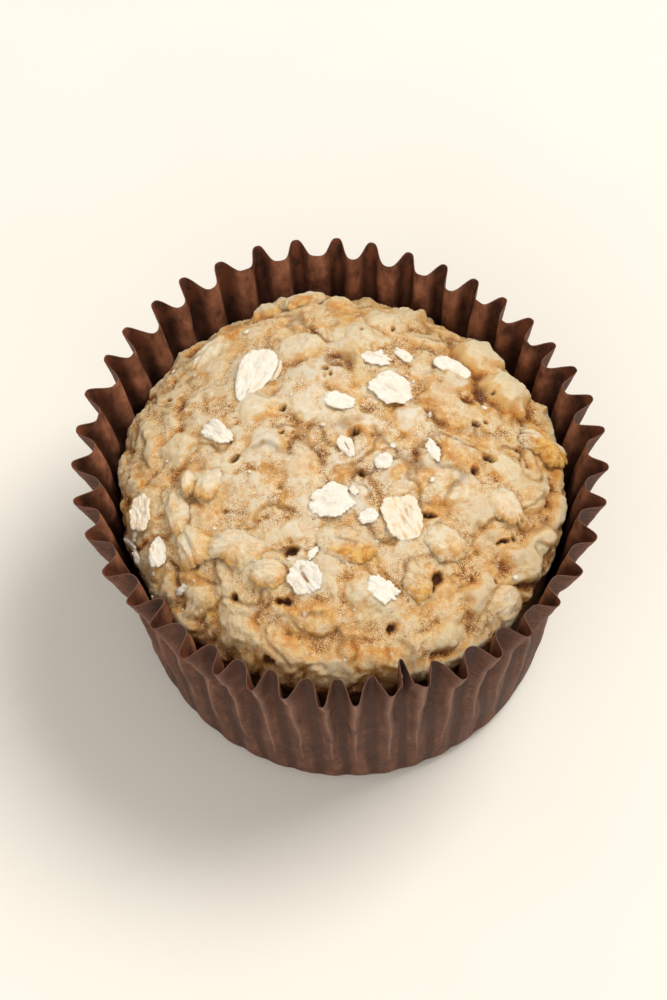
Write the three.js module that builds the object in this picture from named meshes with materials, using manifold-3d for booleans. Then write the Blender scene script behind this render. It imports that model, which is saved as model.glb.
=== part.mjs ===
// An oat muffin in its pleated paper baking case.
//
// Millimetres, +Z up. The case stands on the plane z = 0, and the Z axis runs
// through the middle of the case's rim. Angles are in degrees, counted
// anticlockwise from +X as seen from above.

import * as THREE from "three";
import { mergeVertices } from "three/addons/utils/BufferGeometryUtils.js";
import Module from "manifold-3d";

const wasm = await Module();
wasm.setup();

// ------------------------------------------------------------ driving sizes

// Paper case. Radii are to the outer folds.
const CASE_HEIGHT = 37;
const FLOOR_RADIUS = 26.1; // the flat floor
const HEEL_RADIUS = 28.5; // top of the rounded bottom edge
const HEEL_HEIGHT = 3.5;
const RIM_RADIUS = 35.5;
const WALL_TAPER = 0.15; // outward run for each millimetre of height
const FLARE_START = 22; // the wall leans out more above this height
const PAPER = 0.3; // thickness of wall and floor
const FLOOR_SHIFT = new THREE.Vector2(1.2, -2.1); // the case leans a little
const WALL_HEIGHTS = [0, 1, HEEL_HEIGHT, 16, 27.5, CASE_HEIGHT];

// Pleats of the wall
const PLEATS = 42;
const POINTS_PER_PLEAT = 6;
const PLEAT_DEPTH_AT_FLOOR = 0.7;
const PLEAT_DEPTH_AT_RIM = 3.2;
const PLEAT_DEPTH_GROWTH = 2.5; // power of the height
const FOLD_SHARPNESS = 1.35; // above 1, outer folds are narrow and inner ones broad
const FIRST_PLEAT_AT = -146.5;

// The pleats are not spaced evenly, and the rim is not quite round: each is a
// sum of waves round the case, of a size, a number of crests and a place.
const PLEAT_DRIFT = [
  { crests: 1, size: 2.4, at: -136 },
  { crests: 2, size: 1.8, at: 31 },
  { crests: 3, size: 0.75, at: 2 },
];
const OUT_OF_ROUND = [
  { crests: 2, size: 0.5, at: -48 },
  { crests: 3, size: 0.2, at: 1 },
  { crests: 4, size: 0.25, at: 7.5 },
];

// One pleat at the front is pinched inwards near the rim.
const PINCH_AT = -74.5;
const PINCH_HALF_ANGLE = 6;
const PINCH_PULL = 0.6; // how far the two folds beside it close up
const PINCH_SET_IN = 1;
const PINCH_EXTRA_DEPTH = 1.1;
const PINCH_START = 27.5;

// Muffin
const MUFFIN_FLOOR = 0.65; // clears the paper floor
const MUFFIN_FLOOR_RADIUS = 24.5;
const SIDE_CLEARANCE = 0.55; // from the middle of the paper at the inner folds
const SHOULDER_HEIGHT = 29.6;
const SHOULDER_RADIUS = 29.5;
const CROWN_RISE = 11.6;
const CROWN_FULLNESS = 2.2; // powers of the superellipse that the crown follows
const CROWN_ROUNDNESS = 1.5;
const CROWN_CELLS = 46; // facets across the crown

// Lumps of oat under the crumb
const LUMPS = 78;
const LUMP_LENGTH = { least: 5, most: 9 };
const LUMP_SLIMNESS = { least: 0.6, most: 0.95 };
const LUMP_HEIGHT = { least: 0.6, most: 1.6 };
const LUMP_HEIGHT_AT_SHOULDER = 0.4; // share of the full height
const LUMP_FADE_START = 0.82; // share of the crown's radius
const GOLDEN_ANGLE = 180 * (3 - Math.sqrt(5));

// Raw rolled-oat flakes lying on the crown: place, length, width and turn
const FLAKE_THICKNESS = 0.8;
const FLAKE_LIFT = 0.15; // of a flake's middle above the crumb
const FLAKE_SIDES = 9;
const FLAKE_SQUARENESS = 2.4;
const FLAKE_RAGGEDNESS = 0.12;
const FLAKES = [
  { x: -11, y: 11, length: 8.5, width: 5, turn: 70 },
  { x: -7.5, y: 11.5, length: 3.4, width: 2, turn: 80 },
  { x: 5, y: 14, length: 4, width: 3, turn: -15 },
  { x: 8.5, y: 15.5, length: 3, width: 2, turn: -55 },
  { x: 7, y: 9.5, length: 6.4, width: 5.4, turn: -35 },
  { x: 15.5, y: 14, length: 5.5, width: 3.5, turn: -30 },
  { x: 0, y: 7, length: 4.2, width: 3, turn: -5 },
  { x: -16, y: 3, length: 4.5, width: 2.8, turn: -35 },
  { x: 1, y: -0.5, length: 3.5, width: 2.2, turn: -65 },
  { x: 6, y: -2.5, length: 2.6, width: 2.5, turn: 5 },
  { x: 12.5, y: -0.5, length: 3.5, width: 1.6, turn: -75 },
  { x: -1, y: -8.5, length: 5.6, width: 4.5, turn: 15 },
  { x: 3.5, y: -10.5, length: 2.6, width: 2.2, turn: 20 },
  { x: 8, y: -10, length: 6.2, width: 5.5, turn: -70 },
  { x: -4, y: -18.5, length: 4.6, width: 4.4, turn: 0 },
  { x: 6, y: -19.5, length: 4.6, width: 3.2, turn: -5 },
  { x: -23.5, y: -12.5, length: 4, width: 2.8, turn: 70 },
  { x: -25.5, y: -7, length: 5, width: 3.6, turn: 80 },
];

// Finishes
const PAPER_BROWN = 0x5f4137;
const CRUMB_TAN = 0xb89268;

// ------------------------------------------------------------------ helpers

const radians = THREE.MathUtils.degToRad;

/** The same draw from 0 to 1 each time for the same pair of whole numbers. */
function draw(index, kind) {
  const wave = Math.sin(index * 12.9898 + kind * 78.233) * 43758.5453;
  return wave - Math.floor(wave);
}

/** A draw between the two ends of a range. */
function drawBetween(range, index, kind) {
  return THREE.MathUtils.lerp(range.least, range.most, draw(index, kind));
}

/** Sum of waves round the case, at an angle. */
function waveSum(waves, angle) {
  let sum = 0;
  for (const wave of waves) {
    sum += wave.size * Math.cos(radians(wave.crests * (angle - wave.at)));
  }
  return sum;
}

/** How far the rim's unevenness moves a point out, fading to nothing at the floor. */
function outOfRound(angle, height) {
  return (waveSum(OUT_OF_ROUND, angle) * height) / CASE_HEIGHT;
}

/** Middle of the case at a height: it moves towards the rim's as the wall rises. */
function axisAt(height) {
  return FLOOR_SHIFT.clone().multiplyScalar(1 - height / CASE_HEIGHT);
}

/** Outline of the outer folds: rounded bottom edge, even taper, then a flare. */
function outerFoldRadius(height) {
  if (height < HEEL_HEIGHT) {
    const left = 1 - height / HEEL_HEIGHT;
    return FLOOR_RADIUS + (HEEL_RADIUS - FLOOR_RADIUS) * Math.sqrt(1 - left * left);
  }
  const tapered = HEEL_RADIUS + WALL_TAPER * (height - HEEL_HEIGHT);
  const flare = RIM_RADIUS - HEEL_RADIUS - WALL_TAPER * (CASE_HEIGHT - HEEL_HEIGHT);
  const rise = Math.max(0, (height - FLARE_START) / (CASE_HEIGHT - FLARE_START));
  return tapered + flare * rise * rise;
}

/** Depth of the pleats at a height. */
function pleatDepth(height) {
  const share = (height / CASE_HEIGHT) ** PLEAT_DEPTH_GROWTH;
  return THREE.MathUtils.lerp(PLEAT_DEPTH_AT_FLOOR, PLEAT_DEPTH_AT_RIM, share);
}

/** One closed mesh through rings of equal length, from a first pole to a last one. */
function loftBetweenPoles(firstPole, rings, lastPole) {
  const around = rings[0].length;
  const points = [firstPole, ...rings.flat(), lastPole];
  const indices = [];
  for (let j = 0; j < around; j += 1) {
    const next = (j + 1) % around;
    indices.push(0, 1 + next, 1 + j);
    for (let k = 0; k + 1 < rings.length; k += 1) {
      const low = 1 + k * around;
      const high = low + around;
      indices.push(low + j, low + next, high + next);
      indices.push(low + j, high + next, high + j);
    }
    const top = 1 + (rings.length - 1) * around;
    indices.push(points.length - 1, top + j, top + next);
  }
  return indexedGeometry(points, indices);
}

/** A geometry that holds only positions and triangles. */
function indexedGeometry(points, indices) {
  const geometry = new THREE.BufferGeometry().setFromPoints(points);
  geometry.setIndex(indices);
  return geometry;
}

// --------------------------------------------------------------- paper case

/** Middle of the paper at a place round the case, counted in pleats, and a height. */
function paperMiddle(pleat, height) {
  const even = FIRST_PLEAT_AT + (360 * pleat) / PLEATS;
  const drifted = even + waveSum(PLEAT_DRIFT, even);
  const fromPinch = THREE.MathUtils.euclideanModulo(drifted - PINCH_AT + 180, 360) - 180;
  const pinchRise = THREE.MathUtils.smoothstep(height, PINCH_START, CASE_HEIGHT);
  const pinch = pinchRise * Math.exp(-((fromPinch / PINCH_HALF_ANGLE) ** 2));
  const crease = ((1 + Math.cos(2 * Math.PI * pleat)) / 2) ** FOLD_SHARPNESS;
  const depth = pleatDepth(height) + PINCH_EXTRA_DEPTH * pinch;
  const outer = outerFoldRadius(height) + outOfRound(drifted, height) - PINCH_SET_IN * pinch;
  const radius = outer - depth * (1 - crease);
  const angle = radians(drifted - PINCH_PULL * fromPinch * pinch);
  return new THREE.Vector2(radius, 0).rotateAround(new THREE.Vector2(), angle).add(axisAt(height));
}

/** One level ring of the paper's face, half its thickness out (side 1) or in (side -1). */
function paperRing(height, side, level = height) {
  const ring = [];
  const step = 1 / (8 * POINTS_PER_PLEAT);
  for (let j = 0; j < PLEATS * POINTS_PER_PLEAT; j += 1) {
    const pleat = j / POINTS_PER_PLEAT;
    const middle = paperMiddle(pleat, height);
    const along = paperMiddle(pleat + step, height).sub(paperMiddle(pleat - step, height));
    const outward = new THREE.Vector2(along.y, -along.x).normalize();
    middle.addScaledVector(outward, (side * PAPER) / 2);
    ring.push(new THREE.Vector3(middle.x, middle.y, level));
  }
  return ring;
}

/** The case: a flat floor, then the pleated wall up its outside and down its inside. */
function paperCaseGeometry() {
  const outside = WALL_HEIGHTS.map((height) => paperRing(height, 1));
  const inside = WALL_HEIGHTS.map((height) => paperRing(height, -1, Math.max(height, PAPER)));
  const below = new THREE.Vector3(FLOOR_SHIFT.x, FLOOR_SHIFT.y, 0);
  const above = new THREE.Vector3(FLOOR_SHIFT.x, FLOOR_SHIFT.y, PAPER);
  return loftBetweenPoles(below, [...outside, ...inside.reverse()], above);
}

// ------------------------------------------------------------------- muffin

/** Smooth crown over a point of the unit disc, before any lumps: point and outward normal. */
function smoothCrown(u, v) {
  const share = Math.min(1, Math.hypot(u, v));
  const angle = Math.atan2(v, u);
  const edge = SHOULDER_RADIUS + outOfRound(THREE.MathUtils.radToDeg(angle), SHOULDER_HEIGHT);
  const middle = axisAt(SHOULDER_HEIGHT);
  const rise = Math.max(0, 1 - share ** CROWN_FULLNESS) ** (1 / CROWN_ROUNDNESS);
  const slopeOut = (CROWN_FULLNESS / edge) * share ** (CROWN_FULLNESS - 1);
  const slopeUp = (CROWN_ROUNDNESS / CROWN_RISE) * rise ** (CROWN_ROUNDNESS - 1);
  return {
    share,
    point: new THREE.Vector3(
      middle.x + edge * share * Math.cos(angle),
      middle.y + edge * share * Math.sin(angle),
      SHOULDER_HEIGHT + CROWN_RISE * rise,
    ),
    normal: new THREE.Vector3(
      slopeOut * Math.cos(angle),
      slopeOut * Math.sin(angle),
      slopeUp,
    ).normalize(),
  };
}

/** Direction that lies on the crown and heads the given way as seen from above. */
function headingOn(normal, turn) {
  const flat = new THREE.Vector3(Math.cos(radians(turn)), Math.sin(radians(turn)), 0);
  return flat.addScaledVector(normal, -flat.dot(normal)).normalize();
}

/** Oval lumps spread evenly over the crown in a sunflower spiral, with seeded draws. */
function oatLumps() {
  const lumps = [];
  for (let i = 0; i < LUMPS; i += 1) {
    const share = Math.sqrt((i + 0.2 + 0.6 * draw(i, 1)) / LUMPS);
    const angle = radians(i * GOLDEN_ANGLE + 20 * (draw(i, 2) - 0.5));
    const { point, normal } = smoothCrown(share * Math.cos(angle), share * Math.sin(angle));
    const length = drawBetween(LUMP_LENGTH, i, 3);
    lumps.push({
      centre: point,
      heading: headingOn(normal, 180 * draw(i, 6)),
      halfLength: length / 2,
      halfWidth: (length * drawBetween(LUMP_SLIMNESS, i, 4)) / 2,
      height: drawBetween(LUMP_HEIGHT, i, 5),
    });
  }
  return lumps;
}

const CROWN_LUMPS = oatLumps();

/** Height of the highest lump over a point of the smooth crown. */
function lumpHeight(point) {
  let highest = 0;
  for (const lump of CROWN_LUMPS) {
    const reach = point.clone().sub(lump.centre);
    const along = reach.dot(lump.heading) / lump.halfLength;
    const across = Math.sqrt(Math.max(0, reach.lengthSq() - reach.dot(lump.heading) ** 2));
    const out = along * along + (across / lump.halfWidth) ** 2;
    highest = Math.max(highest, lump.height * Math.sqrt(Math.max(0, 1 - out)));
  }
  return highest;
}

/** The crown with its lumps, over a point of the unit disc. */
function crown(u, v) {
  const { share, point, normal } = smoothCrown(u, v);
  const fade = THREE.MathUtils.smoothstep(share, LUMP_FADE_START, 1);
  const kept = THREE.MathUtils.lerp(1, LUMP_HEIGHT_AT_SHOULDER, fade);
  return { point: point.addScaledVector(normal, kept * lumpHeight(point)), normal };
}

/** Point of the unit disc for a point of the square from -1 to 1: squares become circles. */
function squareToDisc(s, t) {
  if (s === 0 && t === 0) {
    return [0, 0];
  }
  const radius = Math.abs(s) > Math.abs(t) ? s : t;
  const quarter = Math.abs(s) > Math.abs(t) ? (t / s) * 45 : 90 - (s / t) * 45;
  return [radius * Math.cos(radians(quarter)), radius * Math.sin(radians(quarter))];
}

/** Ring of the muffin's side at a height, over the same angles as the crown's edge. */
function sideRing(edge, height, radiusAt) {
  const crownMiddle = axisAt(SHOULDER_HEIGHT);
  const middle = axisAt(height);
  return edge.map((point) => {
    const angle = Math.atan2(point.y - crownMiddle.y, point.x - crownMiddle.x);
    const radius = radiusAt + outOfRound(THREE.MathUtils.radToDeg(angle), height);
    return new THREE.Vector3(
      middle.x + radius * Math.cos(angle),
      middle.y + radius * Math.sin(angle),
      height,
    );
  });
}

/** Radius of the muffin's side, just inside the inner folds. */
function sideRadius(height) {
  return outerFoldRadius(height) - pleatDepth(height) - SIDE_CLEARANCE;
}

/** The cake: a lumpy crown, sides that follow the paper, and a flat bottom. */
function cakeGeometry() {
  const row = CROWN_CELLS + 1;
  const points = [];
  const indices = [];
  for (let j = 0; j < row; j += 1) {
    for (let i = 0; i < row; i += 1) {
      const s = (2 * i) / CROWN_CELLS - 1;
      const t = (2 * j) / CROWN_CELLS - 1;
      points.push(crown(...squareToDisc(s, t)).point);
      if (i > 0 && j > 0) {
        const corner = j * row + i;
        indices.push(corner - row - 1, corner - row, corner);
        indices.push(corner - row - 1, corner, corner - 1);
      }
    }
  }
  let upper = crownEdge(row);
  const edge = upper.map((index) => points[index]);
  const levels = WALL_HEIGHTS.slice(2, -1).reverse().map((height) => [height, sideRadius(height)]);
  for (const [height, radius] of [...levels, [MUFFIN_FLOOR, MUFFIN_FLOOR_RADIUS]]) {
    const lower = edge.map((_, k) => points.length + k);
    points.push(...sideRing(edge, height, radius));
    for (let k = 0; k < edge.length; k += 1) {
      const next = (k + 1) % edge.length;
      indices.push(lower[k], lower[next], upper[next]);
      indices.push(lower[k], upper[next], upper[k]);
    }
    upper = lower;
  }
  const middle = axisAt(MUFFIN_FLOOR);
  points.push(new THREE.Vector3(middle.x, middle.y, MUFFIN_FLOOR));
  for (let k = 0; k < edge.length; k += 1) {
    indices.push(points.length - 1, upper[(k + 1) % edge.length], upper[k]);
  }
  return indexedGeometry(points, indices);
}

/** Indices of the square grid's border, anticlockwise from its first corner. */
function crownEdge(row) {
  const last = row - 1;
  const border = [];
  for (let i = 0; i < last; i += 1) border.push(i);
  for (let j = 0; j < last; j += 1) border.push(j * row + last);
  for (let i = last; i > 0; i -= 1) border.push(last * row + i);
  for (let j = last; j > 0; j -= 1) border.push(j * row);
  return border;
}

/** Point of the unit disc that lies under a place on the crown, as seen from above. */
function discUnder(x, y) {
  const middle = axisAt(SHOULDER_HEIGHT);
  return [(x - middle.x) / SHOULDER_RADIUS, (y - middle.y) / SHOULDER_RADIUS];
}

/** One flake: a thin ragged plate with bevelled rims, lying on the crown. */
function flakeGeometry(flake, index) {
  const { point, normal } = crown(...discUnder(flake.x, flake.y));
  const long = headingOn(normal, flake.turn);
  const wide = new THREE.Vector3().crossVectors(normal, long);
  const middle = point.addScaledVector(normal, FLAKE_LIFT);
  const ringAt = (lift, size) => {
    const ring = [];
    for (let k = 0; k < FLAKE_SIDES; k += 1) {
      const angle = (2 * Math.PI * k) / FLAKE_SIDES;
      const c = Math.abs(Math.cos(angle)) ** FLAKE_SQUARENESS;
      const s = Math.abs(Math.sin(angle)) ** FLAKE_SQUARENESS;
      const ragged = 1 + FLAKE_RAGGEDNESS * (2 * draw(index * FLAKE_SIDES + k, 7) - 1);
      const reach = (size * ragged * (c + s) ** (-1 / FLAKE_SQUARENESS)) / 2;
      ring.push(
        middle
          .clone()
          .addScaledVector(long, reach * flake.length * Math.cos(angle))
          .addScaledVector(wide, reach * flake.width * Math.sin(angle))
          .addScaledVector(normal, lift),
      );
    }
    return ring;
  };
  const half = FLAKE_THICKNESS / 2;
  const below = middle.clone().addScaledVector(normal, -half);
  const above = middle.clone().addScaledVector(normal, half);
  return loftBetweenPoles(below, [ringAt(-half, 1), ringAt(half, 0.85)], above);
}

/** A solid that manifold-3d can join, from a geometry with closed faces. */
function toManifold(geometry) {
  const merged = mergeVertices(geometry, 1e-5);
  const mesh = new wasm.Mesh({
    numProp: 3,
    vertProperties: new Float32Array(merged.attributes.position.array),
    triVerts: new Uint32Array(merged.index.array),
  });
  return new wasm.Manifold(mesh);
}

/** A geometry with the triangles of a joined solid. */
function fromManifold(solid) {
  const mesh = solid.getMesh();
  const geometry = new THREE.BufferGeometry();
  geometry.setAttribute("position", new THREE.BufferAttribute(mesh.vertProperties, 3));
  geometry.setIndex(new THREE.BufferAttribute(mesh.triVerts, 1));
  return geometry;
}

/** The muffin: its cake with every raw flake fused on. */
function muffinGeometry() {
  let solid = toManifold(cakeGeometry());
  FLAKES.forEach((flake, index) => {
    solid = solid.add(toManifold(flakeGeometry(flake, index)));
  });
  return fromManifold(solid);
}

// ----------------------------------------------------------------- assembly

/** A named mesh with its own matt finish. */
function piece(name, geometry, color, roughness) {
  geometry.computeVertexNormals();
  const material = new THREE.MeshStandardMaterial({ color, roughness, metalness: 0 });
  const mesh = new THREE.Mesh(geometry, material);
  mesh.name = name;
  return mesh;
}

const group = new THREE.Group();
group.add(piece("paper_case", paperCaseGeometry(), PAPER_BROWN, 0.6));
group.add(piece("muffin", muffinGeometry(), CRUMB_TAN, 0.85));

export default group;
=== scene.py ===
"""Looks of an oat muffin in its pleated brown paper baking case.

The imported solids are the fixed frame. The cake, with the soaked oats in its crumb and the raw oat flakes
and crumbs that lie on it, stands for the node ``muffin``, and thin pleated paper stands for the node
``paper_case``. Shapes are worked out in millimetres, from the same sizes as the solids, and put into
meshes in metres. Angles are in degrees, anticlockwise from +X as seen from above.
"""

import itertools
import logging
import math
from dataclasses import dataclass, field
from enum import Enum
from typing import Sequence

import bpy
import numpy as np
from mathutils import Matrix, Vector


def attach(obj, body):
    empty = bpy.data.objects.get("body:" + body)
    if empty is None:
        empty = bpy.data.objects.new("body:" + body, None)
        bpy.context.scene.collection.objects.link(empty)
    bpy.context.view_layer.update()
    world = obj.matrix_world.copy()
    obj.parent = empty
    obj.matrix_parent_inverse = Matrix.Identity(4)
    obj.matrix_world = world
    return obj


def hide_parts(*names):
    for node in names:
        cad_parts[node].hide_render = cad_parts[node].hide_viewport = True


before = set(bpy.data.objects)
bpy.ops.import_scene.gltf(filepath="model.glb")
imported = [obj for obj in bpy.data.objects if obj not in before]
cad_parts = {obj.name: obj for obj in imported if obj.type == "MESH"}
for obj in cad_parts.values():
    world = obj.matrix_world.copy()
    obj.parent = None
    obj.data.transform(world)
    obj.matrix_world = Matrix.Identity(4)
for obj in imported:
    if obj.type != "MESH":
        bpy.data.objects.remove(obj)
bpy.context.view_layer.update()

LOG = logging.getLogger("muffin")
MM = 0.001
BODY = "root"
GOLDEN_ANGLE = 180.0 * (3.0 - math.sqrt(5.0))

Colour = tuple[float, float, float, float]
Socket = bpy.types.NodeSocket


# ------------------------------------------------------------------ numbers


def paint(red: int, green: int, blue: int) -> Colour:
    """Gives the scene-linear colour of a paint named by its 8-bit display values.

    Args:
        red: Display red, 0 to 255.
        green: Display green, 0 to 255.
        blue: Display blue, 0 to 255.

    Returns:
        Linear red, green, blue and an alpha of one.
    """
    display = np.array([red, green, blue]) / 255.0
    linear = np.where(display <= 0.04045, display / 12.92, ((display + 0.055) / 1.055) ** 2.4)
    return (float(linear[0]), float(linear[1]), float(linear[2]), 1.0)


def smooth_step(value: np.ndarray, low: float, high: float) -> np.ndarray:
    """Eases from 0 at low to 1 at high along 3t^2 - 2t^3.

    Args:
        value: Numbers to ease.
        low: Where the rise starts.
        high: Where the rise ends.

    Returns:
        Eased numbers from 0 to 1.
    """
    share = np.clip((value - low) / (high - low), 0.0, 1.0)
    return share * share * (3.0 - 2.0 * share)


def smooth_max(first: np.ndarray, second: np.ndarray, blend: float) -> np.ndarray:
    """Takes the larger of two heights, with the crease between them rounded over ``blend``.

    Args:
        first: Heights.
        second: Heights.
        blend: Difference in height within which the two are blended.

    Returns:
        The larger height plus a quadratic rounding that vanishes beyond the blend.
    """
    near = np.clip(blend - np.abs(first - second), 0.0, None) / blend
    return np.maximum(first, second) + near * near * blend / 4.0


def draws(index: np.ndarray, kind: int) -> np.ndarray:
    """Gives the same draw from 0 to 1 each time for the same whole numbers, by a folded sine.

    Args:
        index: Whole numbers.
        kind: Which of several independent draws is wanted.

    Returns:
        Numbers from 0 to 1.
    """
    wave = np.sin(index * 12.9898 + kind * 78.233) * 43758.5453
    return wave - np.floor(wave)


def turned(angle: np.ndarray | float) -> np.ndarray:
    """Gives the level unit vectors (cos, sin, 0) at angles in degrees."""
    angle = np.radians(np.asarray(angle, dtype=float))
    return np.stack([np.cos(angle), np.sin(angle), np.zeros_like(angle)], axis=-1)


def unit(vectors: np.ndarray) -> np.ndarray:
    """Scales vectors to a length of one."""
    return vectors / np.linalg.norm(vectors, axis=-1, keepdims=True)


@dataclass(frozen=True)
class Wave:
    """One wave round the case: its crests, its size and the angle of a crest."""

    crests: int
    size: float
    at: float


def wave_sum(waves: Sequence[Wave], angle: np.ndarray) -> np.ndarray:
    """Adds up waves round the case: the sum of size times cos(crests times (angle - at))."""
    return sum(w.size * np.cos(np.radians(w.crests * (angle - w.at))) for w in waves)


class SmoothNoise:
    """Gradient noise: seeded random slopes on a cubic lattice, blended by a quintic curve."""

    SLOPES = 256

    def __init__(self, seed: int) -> None:
        """Draws the slopes and the order in which lattice points take them.

        Args:
            seed: Sets which noise this is.
        """
        draw = np.random.default_rng(seed)
        self.slopes = unit(draw.normal(size=(self.SLOPES, 3)))
        self.order = draw.permutation(self.SLOPES)

    def at(self, points: np.ndarray, size: float) -> np.ndarray:
        """Evaluates the noise at points.

        Each point blends the slopes of its lattice cell's eight corners, each slope times the way from
        its corner to the point.

        Args:
            points: N by 3 places.
            size: Edge of a lattice cell, about the size of one bump.

        Returns:
            N numbers, mostly from -1 to 1.
        """
        cell = points / size
        low = np.floor(cell).astype(int)
        inside = cell - low
        blend = inside**3 * (inside * (6.0 * inside - 15.0) + 10.0)
        total = np.zeros(len(points))
        for corner in itertools.product((0, 1), repeat=3):
            step = np.array(corner)
            place = low + step
            pick = self.order[place[:, 0] % self.SLOPES]
            pick = self.order[(pick + place[:, 1]) % self.SLOPES]
            pick = self.order[(pick + place[:, 2]) % self.SLOPES]
            weight = np.where(step, blend, 1.0 - blend).prod(axis=1)
            total += weight * np.einsum("ij,ij->i", self.slopes[pick], inside - step)
        return 1.6 * total

    def layered(self, points: np.ndarray, size: float, layers: int, gain: float = 0.5) -> np.ndarray:
        """Adds finer and fainter layers: each has half the last one's size and ``gain`` of its height."""
        return sum(
            gain**k * self.at(points + 17.3 * k, size / 2.0**k) for k in range(layers)
        )

    def hills(self, points: np.ndarray, size: float, softness: float = 0.1) -> np.ndarray:
        """Gives rounded hills with narrow valleys: the root of the squared noise plus softness squared."""
        return np.sqrt(self.at(points, size) ** 2 + softness**2)


# ------------------------------------------------------------------- meshes


@dataclass
class Surface:
    """Points in millimetres, faces that index them, and named numbers for each point."""

    points: np.ndarray
    quads: np.ndarray
    triangles: np.ndarray
    marks: dict[str, np.ndarray] = field(default_factory=dict)

    def piece(self, name: str, material: bpy.types.Material) -> bpy.types.Object:
        """Puts the surface into a smooth-shaded object that rides on the root body.

        Args:
            name: The object's name.
            material: Its finish.

        Returns:
            The new object, at the origin, with its place in its mesh.
        """
        mesh = bpy.data.meshes.new(name)
        corners = np.concatenate([self.quads.ravel(), self.triangles.ravel()])
        sizes = np.concatenate([np.full(len(self.quads), 4), np.full(len(self.triangles), 3)])
        mesh.vertices.add(len(self.points))
        mesh.vertices.foreach_set("co", (self.points * MM).astype(np.float32).ravel())
        mesh.loops.add(len(corners))
        mesh.loops.foreach_set("vertex_index", corners.astype(np.int32))
        mesh.polygons.add(len(sizes))
        mesh.polygons.foreach_set("loop_start", (np.cumsum(sizes) - sizes).astype(np.int32))
        mesh.update(calc_edges=True)
        mesh.polygons.foreach_set("use_smooth", np.ones(len(sizes), dtype=bool))
        for key, values in self.marks.items():
            layer = mesh.attributes.new(key, "FLOAT", "POINT")
            layer.data.foreach_set("value", values.astype(np.float32))
        mesh.materials.append(material)
        made = bpy.data.objects.new(name, mesh)
        bpy.context.scene.collection.objects.link(made)
        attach(made, BODY)
        LOG.info("%s: %d points, %d faces", name, len(self.points), len(sizes))
        return made


def joined(parts: Sequence[Surface]) -> Surface:
    """Joins surfaces that have the same marks into one, each with its own points.

    Args:
        parts: The surfaces.

    Returns:
        One surface with every part's points, faces and marks.
    """
    starts = np.cumsum([0] + [len(part.points) for part in parts[:-1]])
    return Surface(
        np.concatenate([part.points for part in parts]),
        np.concatenate([part.quads + start for part, start in zip(parts, starts)]),
        np.concatenate([part.triangles + start for part, start in zip(parts, starts)]),
        {key: np.concatenate([part.marks[key] for part in parts]) for key in parts[0].marks},
    )


def loft(first_pole: np.ndarray, rings: np.ndarray, last_pole: np.ndarray) -> Surface:
    """Closes a stack of rings with a pole at each end.

    Quads join each ring to the next, and fans of triangles join the end rings to the poles. With rings
    anticlockwise as seen from the last pole, the faces point out of the stack.

    Args:
        first_pole: Point below the first ring.
        rings: K by N by 3 points, in order from the first pole to the last.
        last_pole: Point above the last ring.

    Returns:
        The closed surface, its points in the order first pole, rings, last pole.
    """
    count, around = rings.shape[:2]
    points = np.concatenate([[first_pole], rings.reshape(-1, 3), [last_pole]])
    here = np.arange(around)
    after = (here + 1) % around
    low = 1 + around * np.arange(count - 1)[:, None]
    high = low + around
    quads = np.stack([low + here, low + after, high + after, high + here], axis=-1).reshape(-1, 4)
    top = 1 + (count - 1) * around
    first_fan = np.stack([np.zeros_like(here), 1 + after, 1 + here], axis=-1)
    last_fan = np.stack([np.full_like(here, len(points) - 1), top + here, top + after], axis=-1)
    return Surface(points, quads, np.concatenate([first_fan, last_fan]))


def with_poles(marks: dict[str, np.ndarray]) -> dict[str, np.ndarray]:
    """Adds marks for a loft's two poles, the same as those of the points next to them."""
    return {key: np.concatenate([values[:1], values, values[-1:]]) for key, values in marks.items()}


# ---------------------------------------------------------------- materials


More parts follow.
